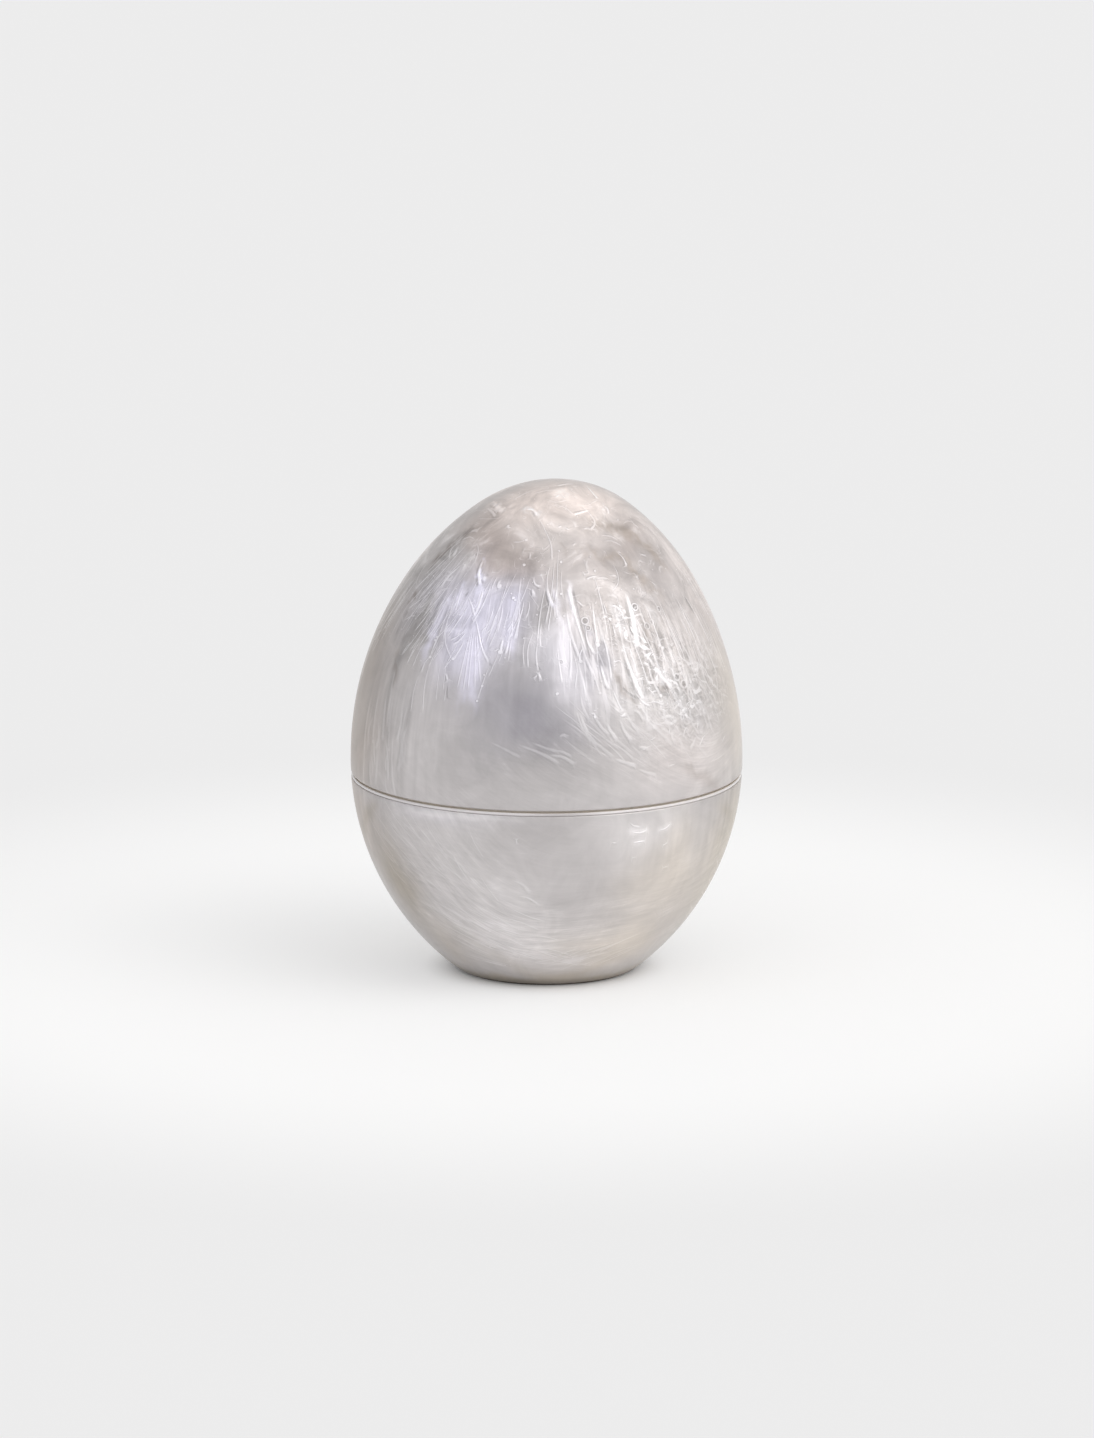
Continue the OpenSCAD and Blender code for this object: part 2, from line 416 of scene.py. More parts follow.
# Bands of a tint, each along a line and fading out at both ends: half width in mm at its first end and at
# its last, how soft its edge is in mm, the tint's level and hue, how much of it there is, and where it
# runs, as pixels of the photograph
BANDS_PX = [
    # Crown
    (1.4, 1.0, 1.0, 244, CREAMY, 0.7, (590, 535), (594, 523), (589, 514), (578, 503), (564, 500)),
    (0.9, 1.2, 0.8, 242, CREAMY, 0.6, (568, 515), (583, 511), (594, 511)),
    (1.2, 1.0, 1.0, 244, WHITE, 0.7, (542, 520), (533, 511), (518, 509)),
    (1.6, 1.2, 1.0, 242, CREAMY, 0.6, (550, 498), (562, 490), (578, 485)),
    (1.8, 1.4, 1.2, 232, CREAMY, 0.6, (507, 518), (490, 501)),
    (1.8, 2.0, 2.0, 166, UMBER, 0.75, (572, 522), (606, 526), (640, 540), (655, 555), (672, 580)),
    (1.4, 1.6, 1.8, 164, UMBER, 0.7, (560, 545), (592, 553), (625, 563), (640, 577), (652, 588), (674, 604)),
    (1.8, 1.4, 1.2, 142, DUSTY, 0.8, (426, 573), (444, 551), (460, 539), (484, 519)),
    (2.0, 2.4, 2.0, 166, DUSTY, 0.5, (487, 574), (500, 560), (524, 556)),
    (1.6, 1.6, 1.2, 210, NEUTRAL, 0.6, (449, 562), (461, 544)),
    (2.0, 2.0, 1.5, 200, NEUTRAL, 0.4, (470, 572), (470, 548)),
    (1.0, 1.2, 1.2, 166, DUSTY, 0.5, (575, 570), (566, 552), (558, 536)),
    # Plume and fan
    (3.4, 0.8, 2.4, 224, COOL, 0.75, (468, 712), (472, 660), (475, 612)),
    (0.7, 1.7, 0.8, 236, COOL, 0.85, (475, 622), (479, 600), (480, 576)),
    (1.5, 0.4, 0.7, 240, COOL, 0.9, (480, 592), (479, 571), (485, 555)),
    (1.4, 1.0, 0.8, 234, COOL, 0.7, (455, 613), (460, 595), (466, 581)),
    (2.2, 1.4, 1.4, 222, COOL, 0.6, (420, 664), (438, 624), (452, 592)),
    (3.0, 2.2, 0.9, 156, NEUTRAL, 0.8, (390, 690), (407, 645), (423, 615), (438, 588)),
    (1.1, 1.0, 0.6, 132, DUSTY, 0.8, (404, 609), (413, 597), (422, 589)),
    (0.5, 0.6, 0.6, 146, DUSTY, 0.7, (394, 640), (402, 621), (411, 607)),
    (1.2, 0.8, 0.8, 146, DUSTY, 0.6, (397, 686), (394, 664), (400, 644)),
    (2.0, 1.8, 1.6, 220, COOL, 0.7, (508, 664), (512, 620), (517, 590)),
    (1.3, 1.0, 0.8, 230, COOL, 0.7, (553, 612), (549, 586)),
    (2.0, 2.0, 1.4, 166, NEUTRAL, 0.5, (538, 632), (545, 606), (543, 588)),
    # Columns at the right
    (2.6, 1.4, 1.4, 222, LILAC, 0.8, (563, 712), (564, 640), (557, 588)),
    (1.3, 1.1, 0.8, 234, LILAC, 0.7, (580, 636), (572, 605), (566, 578)),
    (1.6, 1.3, 0.8, 236, WHITE, 0.85, (641, 658), (634, 622), (625, 588)),
    (1.5, 1.1, 0.8, 218, WHITE, 0.8, (648, 710), (633, 676), (619, 634)),
    (1.4, 1.1, 0.9, 210, LILAC, 0.8, (612, 697), (604, 677), (598, 655)),
    (1.4, 1.1, 0.7, 216, WHITE, 0.85, (678, 696), (664, 679), (655, 667), (643, 652)),
    (2.0, 1.6, 1.0, 222, WHITE, 0.7, (626, 640), (618, 615), (611, 598)),
    (1.1, 0.9, 0.7, 208, WHITE, 0.7, (612, 668), (603, 640), (596, 608)),
    (1.3, 1.0, 0.9, 202, NEUTRAL, 0.7, (664, 638), (652, 612), (645, 598)),
    (1.8, 1.4, 1.0, 204, WHITE, 0.6, (625, 720), (616, 698), (610, 680)),
    (2.4, 1.8, 1.2, 160, SLATE, 0.7, (608, 676), (597, 640)),
    # The next two: painted shadows under the white bands beside them
    (1.0, 0.8, 0.6, 158, DUSTY, 0.7, (643, 705), (624, 690), (612, 668)),
    (1.0, 0.8, 0.6, 158, DUSTY, 0.7, (680, 702), (660, 686), (642, 672)),
    (1.5, 1.5, 0.9, 164, DUSTY, 0.7, (658, 650), (648, 634), (644, 614)),
    (1.1, 1.1, 0.8, 164, SLATE, 0.6, (592, 646), (586, 616)),
    (1.1, 0.9, 1.0, 162, SLATE, 0.6, (595, 700), (586, 668), (578, 642)),
    (1.0, 1.1, 0.8, 164, DUSTY, 0.6, (690, 698), (681, 682), (677, 666)),
    (1.0, 1.2, 1.0, 212, WHITE, 0.5, (594, 750), (583, 728), (574, 702)),
    (0.9, 0.8, 0.9, 216, WHITE, 0.45, (620, 742), (608, 728), (598, 706)),
    (0.8, 0.7, 0.8, 226, WHITE, 0.6, (628, 718), (618, 708), (612, 696)),
    (0.8, 0.8, 0.9, 224, WHITE, 0.7, (660, 736), (648, 718), (640, 702)),
    (0.9, 0.8, 0.8, 230, WHITE, 0.7, (690, 728), (682, 712), (676, 700)),
    (0.8, 0.7, 0.8, 226, WHITE, 0.6, (676, 730), (668, 720), (660, 708)),
    (0.8, 0.7, 0.8, 222, WHITE, 0.5, (704, 744), (700, 726), (694, 712)),
    # Above the seam, and beside it on the bowl
    # Painted highlight along the bowl just under the seam
    (0.8, 0.7, 0.8, 230, WHITE, 0.5, (372, 802), (430, 814), (480, 818), (546, 821)),
    (0.9, 0.7, 0.9, 236, WHITE, 0.8, (626, 828), (637, 832), (650, 829)),
    (0.8, 0.6, 0.9, 234, WHITE, 0.7, (656, 831), (664, 828), (673, 822)),
    (0.7, 0.6, 0.8, 230, WHITE, 0.6, (628, 843), (638, 842), (648, 840)),
    (1.4, 1.0, 1.2, 226, WHITE, 0.5, (520, 938), (500, 926), (480, 922)),
    (1.2, 1.0, 1.2, 226, WHITE, 0.5, (560, 962), (574, 960), (590, 955)),
    (1.2, 0.9, 1.2, 222, WHITE, 0.5, (515, 910), (498, 893), (484, 880)),
    # Painted shadow, a dark line above the seam at the right
    (0.8, 1.6, 1.8, 172, DUSTY, 0.6, (674, 764), (700, 776), (722, 789)),
    # The next two: painted shade at the bowl's left and right edges
    (2.0, 1.6, 2.0, 146, EARTH, 0.5, (360, 846), (366, 818), (382, 798)),
    (2.0, 1.6, 2.0, 172, EARTH, 0.5, (736, 846), (731, 818), (715, 800)),
]

# Where each weave of the pearl shows, as such patches without a tint: upright silk, wisps that arc round
# the egg's bright side, and cloud
SILK_PATCHES = [
    (-20, 112, 44, 26, 0, 0.5),
    (-55, 80, 16, 22, 0, 1.0),
    (-70, 50, 7, 14, 0, 0.9),
    (68, 50, 9, 14, 0, 0.9),
    (40, 48, 14, 10, 0, 0.5),
]
WISP_PATCHES = [
    (-35, 38, 26, 24, 0, 0.8),
    (5, 78, 24, 10, 0, 0.6),
    (50, 76, 18, 10, 0, 0.8),
    (-5, 20, 30, 11, 0, 1.0),
    (80, 30, 20, 20, 0, 0.6),
]
CLOUD_PATCHES = [
    (20, 147, 26, 20, 0, 1.0),
    (-50, 130, 18, 16, 0, 1.0),
    (55, 130, 18, 16, 0, 0.9),
    (-35, 116, 16, 12, 0, 0.6),
    (20, 118, 16, 12, 0, 0.6),
    (45, 100, 14, 12, 0, 0.5),
    (95, 112, 16, 20, 0, 0.6),
]

# Where each kind of mark crowds, the same way: fine lines, white runs, crumpled leaf
LINE_PATCHES = [
    (-46, 119, 17, 13, -10, 1.0),
    (-14, 118, 9, 8, 0, 0.6),
    (56, 112, 8, 14, 0, 0.35),
    (94, 112, 14, 14, 0, 0.7),
]
RUN_PATCHES = [
    (25, 106, 15, 12, 0, 0.8),
    (48, 101, 9, 11, 0, 0.6),
]
LEAF_PATCHES = [
    (43, 98, 11, 8, -20, 1.0),
    (36, 109, 7, 12, -15, 0.8),
    (24, 117, 6, 7, 0, 0.6),
    (50, 89, 13, 7, -20, 0.55),
    (66, 96, 7, 10, 0, 0.4),
]

# The back carries a copy of the front's pattern, since the photograph doesn't show it: how far round in
# degrees the copy is, the azimuth of the back's middle, and where the two join, in mm behind the axis
BACK_TURN = 195
BACK_MIDDLE = 185
JOIN = (-2, 14)

# How fast a patch fades out, and how far it reaches into the egg, in radii
PATCH_FALL = 0.7
PATCH_DEPTH = 1.5

# The shares of a band's length in which it fades in, and from which it fades out
BAND_START = 0.3
BAND_END = 0.75

# Smooth noise moves the patches and the bands: its seed, which would be another one in each run without
# it, then how far it moves them, and how large its swirls are
NOISE_SEED = 65
BROAD_STIR = (5 * MM, 16 * MM)
FINE_STIR = (1.5 * MM, 5 * MM)
BAND_STIR = (0.8 * MM, 2.5 * MM)

# Combing: how wide and how tall its cells are, how far it moves a place, and how far above the seam it is
# full
COMB_WIDE = 2.0 * MM
COMB_TALL = 30 * MM
COMB_REACH = (0.3 * MM, 0, 6 * MM)
COMB_RISE = 20 * MM


def patch_amount(places, azimuth, height, half_width, half_height, turn):
    """How much of a patch lies at each place, from 0 to 1."""
    a = math.radians(azimuth)
    out = np.array([math.sin(a), -math.cos(a), 0])
    across = np.array([math.cos(a), math.sin(a), 0])
    up = place_at(azimuth, height + 1) - place_at(azimuth, height - 1)
    up /= np.linalg.norm(up)
    away = (places - place_at(azimuth, height)) / MM
    u, v = away @ across, away @ up
    depth = np.abs(away @ out)
    c, s = math.cos(math.radians(turn)), math.sin(math.radians(turn))
    wide, tall = (u * c - v * s) / half_width, (u * s + v * c) / half_height
    near = np.clip(PATCH_DEPTH - depth / (EGG_R / MM), 0, 1)
    return np.exp(-PATCH_FALL * (wide ** 2 + tall ** 2)) * near


def moved_round(places, degrees):
    """Places moved round the egg by an angle."""
    places = np.array(places)
    lean = lean_at(places[:, 2])
    x, y = places[:, 0] - lean, places[:, 1]
    c, s = math.cos(math.radians(degrees)), math.sin(math.radians(degrees))
    return np.column_stack([x * c - y * s + lean, x * s + y * c, places[:, 2]])


def both_sides(places, amount_at):
    """An amount at each place, where the back has that of the place at the front that it is a copy of."""
    a = math.radians(BACK_MIDDLE)
    behind = (places[:, 0] - lean_at(places[:, 2])) * math.sin(a) - places[:, 1] * math.cos(a)
    share = rise(behind / MM, *JOIN)
    return amount_at(places) * (1 - share) + amount_at(moved_round(places, -BACK_TURN)) * share


def stirred(places, reach, size):
    """Places moved by smooth noise, so that patches get flowing edges."""
    noise.seed_set(NOISE_SEED)
    moved = [noise.noise_vector(Vector(p) / size) for p in places]
    return places + np.array(moved) * reach


def band_amount(places, low, high, edge, path):
    """How much of a band along a path lies at each place, from 0 to 1."""
    amount = np.zeros(len(places))
    near = close_to(path, places, max(low, high) + edge)
    if len(near):
        _, along, far = beside(path, places[near])
        half = low + (high - low) * along
        ends = rise(along, 0, BAND_START) * (1 - rise(along, BAND_END, 1))
        amount[near] = (1 - rise(far / MM, half - edge, half + edge)) * ends
    return amount


def combed(places):
    """Places of the lid moved up or down by noise that changes fast around it and slowly up it, so that what
    is painted there ends like the strokes of a brush."""
    moved = [noise.noise(Vector((x / COMB_WIDE, y / COMB_WIDE, z / COMB_TALL))) for x, y, z in places]
    return places + np.outer(moved * rise(places[:, 2], LID_Z, LID_Z + COMB_RISE), COMB_REACH)


def paint(piece, tints):
    """Stores the patches with the mesh: 'tint' as a colour, 'weave' and 'marks' as three amounts each."""
    true_places = vertex_places(piece)
    places = stirred(stirred(true_places, *BROAD_STIR), *FINE_STIR)
    colour = np.tile(np.array(BASE), (len(places), 1))
    for *spot, level, hue, amount in tints:
        share = both_sides(places, lambda there: patch_amount(there, *spot)) * amount
        colour += share[:, None] * (np.array(tint(level, hue)) - colour)
    rough_places = combed(stirred(true_places, *BAND_STIR))
    for low, high, edge, level, hue, amount, *spots in BANDS_PX:
        path = curve([seen_at(*spot) for spot in spots])
        share = both_sides(rough_places, lambda there: band_amount(there, low, high, edge, path)) * amount
        colour += share[:, None] * (np.array(tint(level, hue)) - colour)
    layer = piece.data.color_attributes.new("tint", "FLOAT_COLOR", "POINT")
    rows = np.column_stack([colour, np.ones(len(colour))])
    layer.data.foreach_set("color", rows.astype(np.float32).ravel())
    store(piece, "weave", amounts(places, (SILK_PATCHES, WISP_PATCHES, CLOUD_PATCHES)))
    store(piece, "marks", amounts(places, (LINE_PATCHES, RUN_PATCHES, LEAF_PATCHES)))


def amounts(places, kinds):
    """One column for each list of patches, from 0 to 1."""
    sums = [
        both_sides(places, lambda there: sum(patch_amount(there, *spot) * amount for *spot, amount in kind))
        for kind in kinds
    ]
    return np.clip(np.column_stack(sums), 0, 1)


def store(piece, name, rows):
    """Stores three numbers a vertex under a name."""
    layer = piece.data.attributes.new(name, "FLOAT_VECTOR", "POINT")
    layer.data.foreach_set("vector", np.asarray(rows, np.float32).ravel())


# Lines, runs and beads that stand out at the front: half width in mm, how bright they are, which is below
# 0 for a dark one, and where they run, from their thick lower end, as pixels of the photograph. One with
# a single pixel is a bead.
STROKES_PX = [
    # Fan of fine lines at the left
    (0.35, 0.7, (418, 648), (432, 625), (447, 593)),
    (0.35, 0.7, (424, 643), (438, 622), (451, 595)),
    (0.4, 0.6, (407, 664), (414, 648), (421, 636)),
    (0.35, 0.7, (433, 650), (441, 630), (452, 601)),
    (0.35, 0.6, (412, 668), (419, 652), (426, 640)),
    (0.35, 0.7, (443, 641), (447, 622), (456, 600)),
    (0.6, 0.6, (421, 673), (425, 662)),
    (0.4, 0.8, (430, 657), (436, 641), (442, 630)),
    (0.35, 0.6, (428, 668), (434, 655), (438, 645)),
    (0.35, 0.7, (452, 660), (447, 648), (445, 636), (450, 610)),
    (0.5, 0.9, (453, 660), (459, 651), (466, 638)),
    (0.5, 0.85, (453, 645), (460, 640), (468, 630)),
    (0.4, 0.8, (449, 641), (458, 636), (467, 628)),
    (0.35, 0.6, (457, 690), (465, 655), (474, 620)),
    (0.35, 0.6, (463, 694), (468, 658), (474, 620)),
    (0.35, 0.55, (468, 692), (471, 656), (475, 620)),
    (0.35, 0.5, (475, 690), (475, 656), (475, 620)),
    (0.35, 0.5, (481, 684), (478, 652), (476, 620)),
    (0.45, 0.85, (490, 665), (482, 648), (478, 630), (475, 616)),
    (0.45, 0.85, (475, 617), (472, 606), (468, 597)),
    (0.6, 0.8, (475, 616), (480, 602), (484, 586)),
    (0.4, 0.7, (455, 612), (459, 598), (464, 585)),
    (0.35, 0.6, (450, 612), (454, 600), (458, 590)),
    (0.35, 0.8, (481, 633), (489, 622), (495, 604)),
    (0.35, 0.7, (485, 635), (493, 626), (498, 612)),
    (0.35, 0.55, (497, 634), (501, 618), (503, 604)),
    (0.4, 0.8, (507, 632), (513, 622)),
    (0.4, 0.7, (514, 641), (517, 628), (522, 610), (524, 599)),
    (0.6, 0.95, (500, 653), (503, 638)),
    (0.5, 0.85, (505, 656), (509, 640)),
    (0.5, 0.8, (493, 652), (499, 649)),
    (0.35, 0.5, (488, 678), (494, 664), (499, 652)),
    (0.35, 0.7, (528, 669), (528, 648), (535, 628)),
    (0.3, 0.5, (524, 668), (523, 650), (526, 634)),
    (0.35, 0.5, (508, 662), (510, 648), (512, 636)),
    (0.4, 0.7, (538, 672), (536, 655), (538, 640)),
    (0.6, 0.95, (541, 681), (538, 672)),
    (0.5, 0.9, (533, 680), (537, 675)),
    (0.35, 0.6, (477, 701), (484, 680), (490, 665)),
    (0.55, 0.95, (448, 682), (446, 673)),
    (0.3, 0.5, (444, 702), (447, 684)),
    (0.4, 0.5, (423, 714), (424, 690), (428, 670), (434, 655)),
    (0.35, 0.45, (411, 712), (414, 690), (420, 672)),
    (0.3, 0.45, (436, 702), (438, 680), (441, 660)),
    (0.3, 0.45, (443, 692), (445, 672), (447, 655)),
    (0.35, 0.65, (408, 609), (420, 600), (434, 590)),
    (0.55, 0.9, (441, 587), (449, 576), (464, 563)),
    (0.35, 0.6, (474, 564), (478, 552), (477, 542)),
    (0.4, 0.6, (449, 560), (451, 550), (457, 544), (463, 541)),
    (0.9, 0.6, (453, 557), (458, 547)),
    (0.3, 0.6, (415, 585), (421, 572), (428, 562)),
    (0.3, 0.6, (411, 578), (417, 566), (424, 556)),
    (0.3, 0.5, (409, 592), (415, 582)),
    (0.3, 0.5, (416, 572), (424, 560), (430, 551)),
    (0.3, 0.5, (402, 600), (408, 588), (414, 578)),
    (0.35, 0.5, (440, 541), (452, 524), (465, 515), (480, 509)),
    (0.3, 0.4, (478, 519), (490, 519), (503, 518)),
    (0.4, 0.5, (462, 540), (470, 537), (476, 541)),
    (0.35, 0.6, (491, 592), (494, 583), (498, 576)),
    (0.6, 0.8, (501, 590), (498, 584), (501, 580)),
    (0.35, 0.55, (405, 620), (411, 616), (417, 616)),
    # Plume
    (0.7, 0.95, (480, 586), (479, 571), (484, 558)),
    (1.1, 0.95, (487, 580), (482, 577)),
    # White runs at the right
    (0.75, 0.95, (568, 586), (574, 611), (581, 634), (588, 658)),
    (0.7, 0.9, (598, 646), (595, 625), (592, 600)),
    (0.5, 0.85, (584, 607), (576, 600)),
    (0.45, 0.9, (607, 615), (603, 602)),
    (0.45, 0.9, (616, 637), (612, 622)),
    (0.6, 0.85, (612, 683), (608, 655), (601, 630)),
    (0.6, 0.85, (621, 612), (616, 606), (610, 607)),
    (1.3, 0.95, (639, 650), (634, 622), (627, 594)),
    (0.55, 0.9, (668, 668), (660, 643), (652, 620), (645, 602)),
    (0.4, 0.85, (681, 659), (673, 636), (664, 614)),
    (0.4, 0.75, (676, 665), (668, 645), (661, 625)),
    (0.35, 0.65, (686, 663), (678, 640), (668, 618)),
    (1.1, 0.95, (644, 702), (634, 678), (622, 648)),
    (0.5, 0.85, (640, 690), (630, 666), (620, 638)),
    (0.8, 0.8, (609, 690), (604, 677), (600, 663)),
    (1.1, 0.9, (673, 689), (664, 679), (655, 667)),
    (0.8, 0.8, (655, 667), (648, 657), (640, 650)),
    (0.6, 0.9, (651, 706), (643, 702), (634, 692)),
    (0.4, 0.9, (656, 697), (650, 690), (645, 686)),
    (0.35, 0.8, (652, 688), (647, 681)),
    (0.35, 0.8, (661, 694), (655, 686)),
    (0.4, 0.8, (643, 686), (641, 676)),
    (0.6, 0.9, (674, 673), (669, 666)),
    (0.5, 0.8, (665, 705), (656, 702), (648, 703)),
    (0.7, 0.9, (627, 714), (620, 717)),
    (0.5, 0.7, (623, 712), (617, 700), (612, 688)),
    (0.5, 0.95, (597, 719), (593, 712)),
    (0.4, 0.6, (690, 707), (693, 697), (690, 689)),
    (0.4, 0.6, (562, 684), (559, 662), (557, 645)),
    (0.5, 0.7, (570, 682), (571, 656), (569, 630)),
    (0.5, 0.8, (580, 663), (580, 655), (583, 647)),
    (0.35, 0.6, (575, 690), (577, 670), (574, 655)),
    (0.8, 0.95, (553, 607), (549, 596), (546, 584)),
    (0.4, 0.9, (556, 600), (556, 588)),
    (0.7, 0.95, (534, 597), (532, 588)),
    (0.55, 0.95, (541, 587), (535, 584), (533, 577)),
    (0.35, 0.6, (549, 600), (547, 580), (551, 562)),
    (0.35, 0.5, (563, 600), (561, 582), (562, 568)),
    (0.35, 0.6, (612, 592), (618, 583), (617, 572), (610, 561)),
    (0.5, 0.7, (585, 580), (592, 577), (599, 576)),
    (0.4, 0.7, (624, 640), (632, 642), (636, 640)),
    (0.4, 0.8, (612, 663), (620, 661), (626, 668)),
    (0.4, 0.8, (656, 643), (650, 641), (647, 637)),
    (0.4, 0.7, (668, 712), (660, 708)),
    (0.4, 0.7, (683, 716), (675, 712)),
    (0.35, 0.7, (655, 724), (664, 726)),
    (0.35, 0.6, (683, 738), (685, 730), (688, 726)),
    (0.35, 0.7, (697, 729), (699, 722)),
    (0.35, 0.7, (699, 747), (703, 738), (706, 734)),
    (0.35, 0.5, (722, 742), (725, 735)),
    (0.4, 0.8, (669, 735), (670, 727)),
    (0.35, 0.6, (650, 741), (656, 737)),
    (0.35, 0.5, (718, 690), (716, 676), (714, 670)),
    (0.3, 0.5, (641, 751), (650, 746)),
    (0.35, 0.5, (668, 767), (675, 764)),
    (0.66, 0.37, (576, 765), (562, 757), (547, 755)),
    (0.57, 0.31, (572, 757), (562, 752), (550, 750)),
    (0.76, 0.37, (637, 766), (626, 763), (612, 758)),
    (0.66, 0.31, (657, 775), (648, 773), (637, 769)),
    (0.76, 0.37, (650, 750), (644, 748), (638, 747)),
    (0.66, 0.37, (568, 738), (563, 735), (559, 738)),
    (0.76, 0.43, (618, 741), (611, 732), (606, 722)),
    (0.66, 0.31, (610, 736), (600, 726), (592, 712)),
    (0.76, 0.31, (598, 748), (587, 732), (578, 710)),
    (0.57, 0.28, (592, 744), (582, 728), (575, 708)),
    (0.57, 0.25, (590, 722), (583, 708), (580, 694)),
    (0.76, 0.43, (632, 742), (624, 730), (619, 718)),
    (0.66, 0.37, (640, 734), (632, 724), (626, 712)),
    (0.85, 0.5, (676, 720), (670, 716), (664, 718)),
    (0.76, 0.43, (688, 712), (681, 706), (674, 706)),
    (0.76, 0.43, (694, 722), (690, 714), (692, 706)),
    (0.66, 0.37, (706, 716), (702, 706), (700, 696)),
    (0.66, 0.37, (712, 730), (709, 720), (707, 710)),
    (0.66, 0.37, (676, 744), (672, 736), (674, 728)),
    (0.66, 0.34, (690, 750), (694, 742), (696, 736)),
    (0.76, 0.43, (645, 722), (640, 714), (634, 710)),
    (0.66, 0.37, (560, 764), (540, 753), (515, 744)),
    (0.57, 0.31, (559, 752), (545, 748), (530, 742)),
    (0.57, 0.25, (522, 758), (504, 749), (488, 741)),
    # Crown
    (0.55, 0.95, (598, 499), (592, 492), (585, 485)),
    (0.55, 0.95, (609, 515), (607, 508), (602, 505)),
    (0.5, 0.6, (590, 531), (595, 523), (590, 514), (580, 504)),
    (0.6, 0.8, (573, 515), (582, 512), (591, 510)),
    (0.5, 0.95, (555, 498), (560, 494)),
    (0.4, 0.8, (566, 499), (560, 494)),
    (0.7, 0.8, (557, 486), (567, 484), (576, 484)),
    (0.7, 0.8, (538, 516), (533, 510), (524, 509)),
    (0.35, 0.65, (552, 562), (551, 545), (545, 530), (537, 515)),
    (0.4, 0.9, (505, 527), (512, 528)),
    (0.35, 0.7, (513, 542), (520, 542), (528, 539)),
    (0.5, 0.9, (557, 528), (562, 526)),
    (0.5, 0.95, (564, 527), (569, 530)),
    (0.4, 0.8, (583, 529), (589, 528)),
    (0.45, 1.0, (627, 567), (623, 558), (616, 551)),
    (0.4, 0.8, (639, 528), (634, 524), (630, 519)),
    (0.5, 0.75, (647, 556), (640, 554)),
    (1.2, 0.5, (503, 513), (498, 507), (491, 503)),
    (0.6, 0.5, (496, 517), (491, 511), (486, 508)),
    (0.35, 0.6, (657, 586), (650, 581)),
    (0.4, 0.5, (574, 515), (565, 508), (552, 504)),
    (0.35, 0.5, (618, 540), (610, 536), (600, 535)),
    (0.35, 0.5, (622, 546), (612, 541), (603, 541)),
    (0.4, 0.5, (528, 492), (520, 496), (540, 488)),
    (0.35, 0.5, (560, 490), (545, 491), (530, 495)),
    (0.35, 0.5, (568, 500), (556, 502), (545, 499)),
    (0.5, 0.55, (530, 560), (530, 552)),
    (0.5, 0.5, (572, 546), (576, 543)),
    # Dark streaks
    (0.9, -0.7, (694, 613), (688, 603), (683, 592)),
    (1.1, -0.6, (448, 560), (438, 558), (430, 568)),
    (0.6, -0.6, (464, 598), (470, 590)),
    (0.4, -0.7, (590, 661), (586, 642), (579, 618)),
    (0.4, -0.7, (606, 614), (601, 602)),
    (0.4, -0.7, (664, 668), (655, 645), (650, 626)),
    # The next two: painted shadows under white bands
    (0.5, -0.7, (640, 700), (628, 693), (620, 684)),
    (0.5, -0.7, (672, 695), (660, 684), (648, 676)),
    (0.5, -0.5, (440, 600), (430, 620), (418, 640)),
    (0.5, -0.6, (447, 700), (447, 684)),
    (0.8, -0.6, (540, 672), (536, 664)),
    (0.5, -0.6, (492, 668), (484, 652), (480, 634)),
    # Flecks in the bowl
    (0.4, 0.6, (647, 830), (640, 833), (631, 832)),
    (0.4, 0.6, (641, 827), (634, 826), (629, 822)),
    (0.4, 0.6, (671, 823), (666, 828), (658, 831)),
    (0.4, 0.6, (668, 842), (662, 846)),
    (0.35, 0.8, (645, 841), (632, 843)),
    (0.35, 0.8, (617, 843), (611, 843)),
    (0.35, 0.6, (636, 857), (632, 858)),
    (0.4, 0.5, (668, 866), (662, 868)),
    (0.4, 0.5, (517, 845), (516, 838)),
    (0.7, 0.25, (531, 893), (522, 884), (512, 880)),
    (0.5, 0.4, (540, 905), (528, 898), (518, 896)),
    (0.35, 0.28, (470, 882), (460, 868), (452, 852)),
    (0.3, 0.28, (500, 903), (488, 888), (478, 872)),
    (0.3, 0.45, (540, 930), (520, 922), (498, 916)),
    (0.3, 0.45, (545, 921), (525, 915), (505, 905)),
    (0.3, 0.45, (520, 934), (505, 930), (488, 930)),
    (0.3, 0.4, (560, 940), (540, 936), (515, 936)),
    (0.35, 0.28, (420, 838), (408, 822), (398, 806)),
    (0.35, 0.28, (432, 842), (418, 826), (408, 808)),
    (0.35, 0.25, (450, 860), (434, 838), (424, 818)),
    (0.3, 0.25, (484, 858), (474, 842), (468, 826)),
    # Beads
    (0.5, 1.0, (477, 701)),
    (0.4, 0.8, (484, 675)),
    (0.5, 0.95, (561, 594)),
    (0.6, 0.9, (561, 562)),
    (0.6, 0.9, (626, 564)),
    (0.5, 0.8, (595, 571)),
    (0.6, 0.95, (524, 565)),
    (0.6, 0.95, (557, 694)),
    (0.6, 1.0, (595, 717)),
    (0.6, 0.9, (453, 659)),
    (0.8, 0.9, (598, 645)),
    (0.9, 0.9, (500, 652)),
    (0.5, 0.8, (435, 640)),
    (0.6, 0.9, (513, 598)),
    (0.9, 0.8, (499, 586)),
    (0.45, 0.9, (437, 637)),
    (0.45, 0.9, (434, 646)),
    (0.6, 0.9, (430, 657)),
    (0.5, 0.9, (482, 686)),
    (0.45, 0.8, (541, 575)),
    (0.4, 0.8, (585, 575)),
    (0.4, 0.8, (559, 551)),
    (0.45, 0.8, (618, 520)),
    (0.4, 0.8, (634, 589)),
    (0.5, 0.9, (515, 600)),
    (0.4, 0.8, (537, 615)),
    (0.5, 0.7, (564, 616)),
    (0.7, 0.8, (634, 642)),
    (0.7, 0.9, (663, 648)),
    (0.8, 0.9, (646, 648)),
    (0.6, 0.8, (508, 526)),
    (0.6, 0.7, (526, 540)),
    (0.6, 0.8, (649, 682)),
]
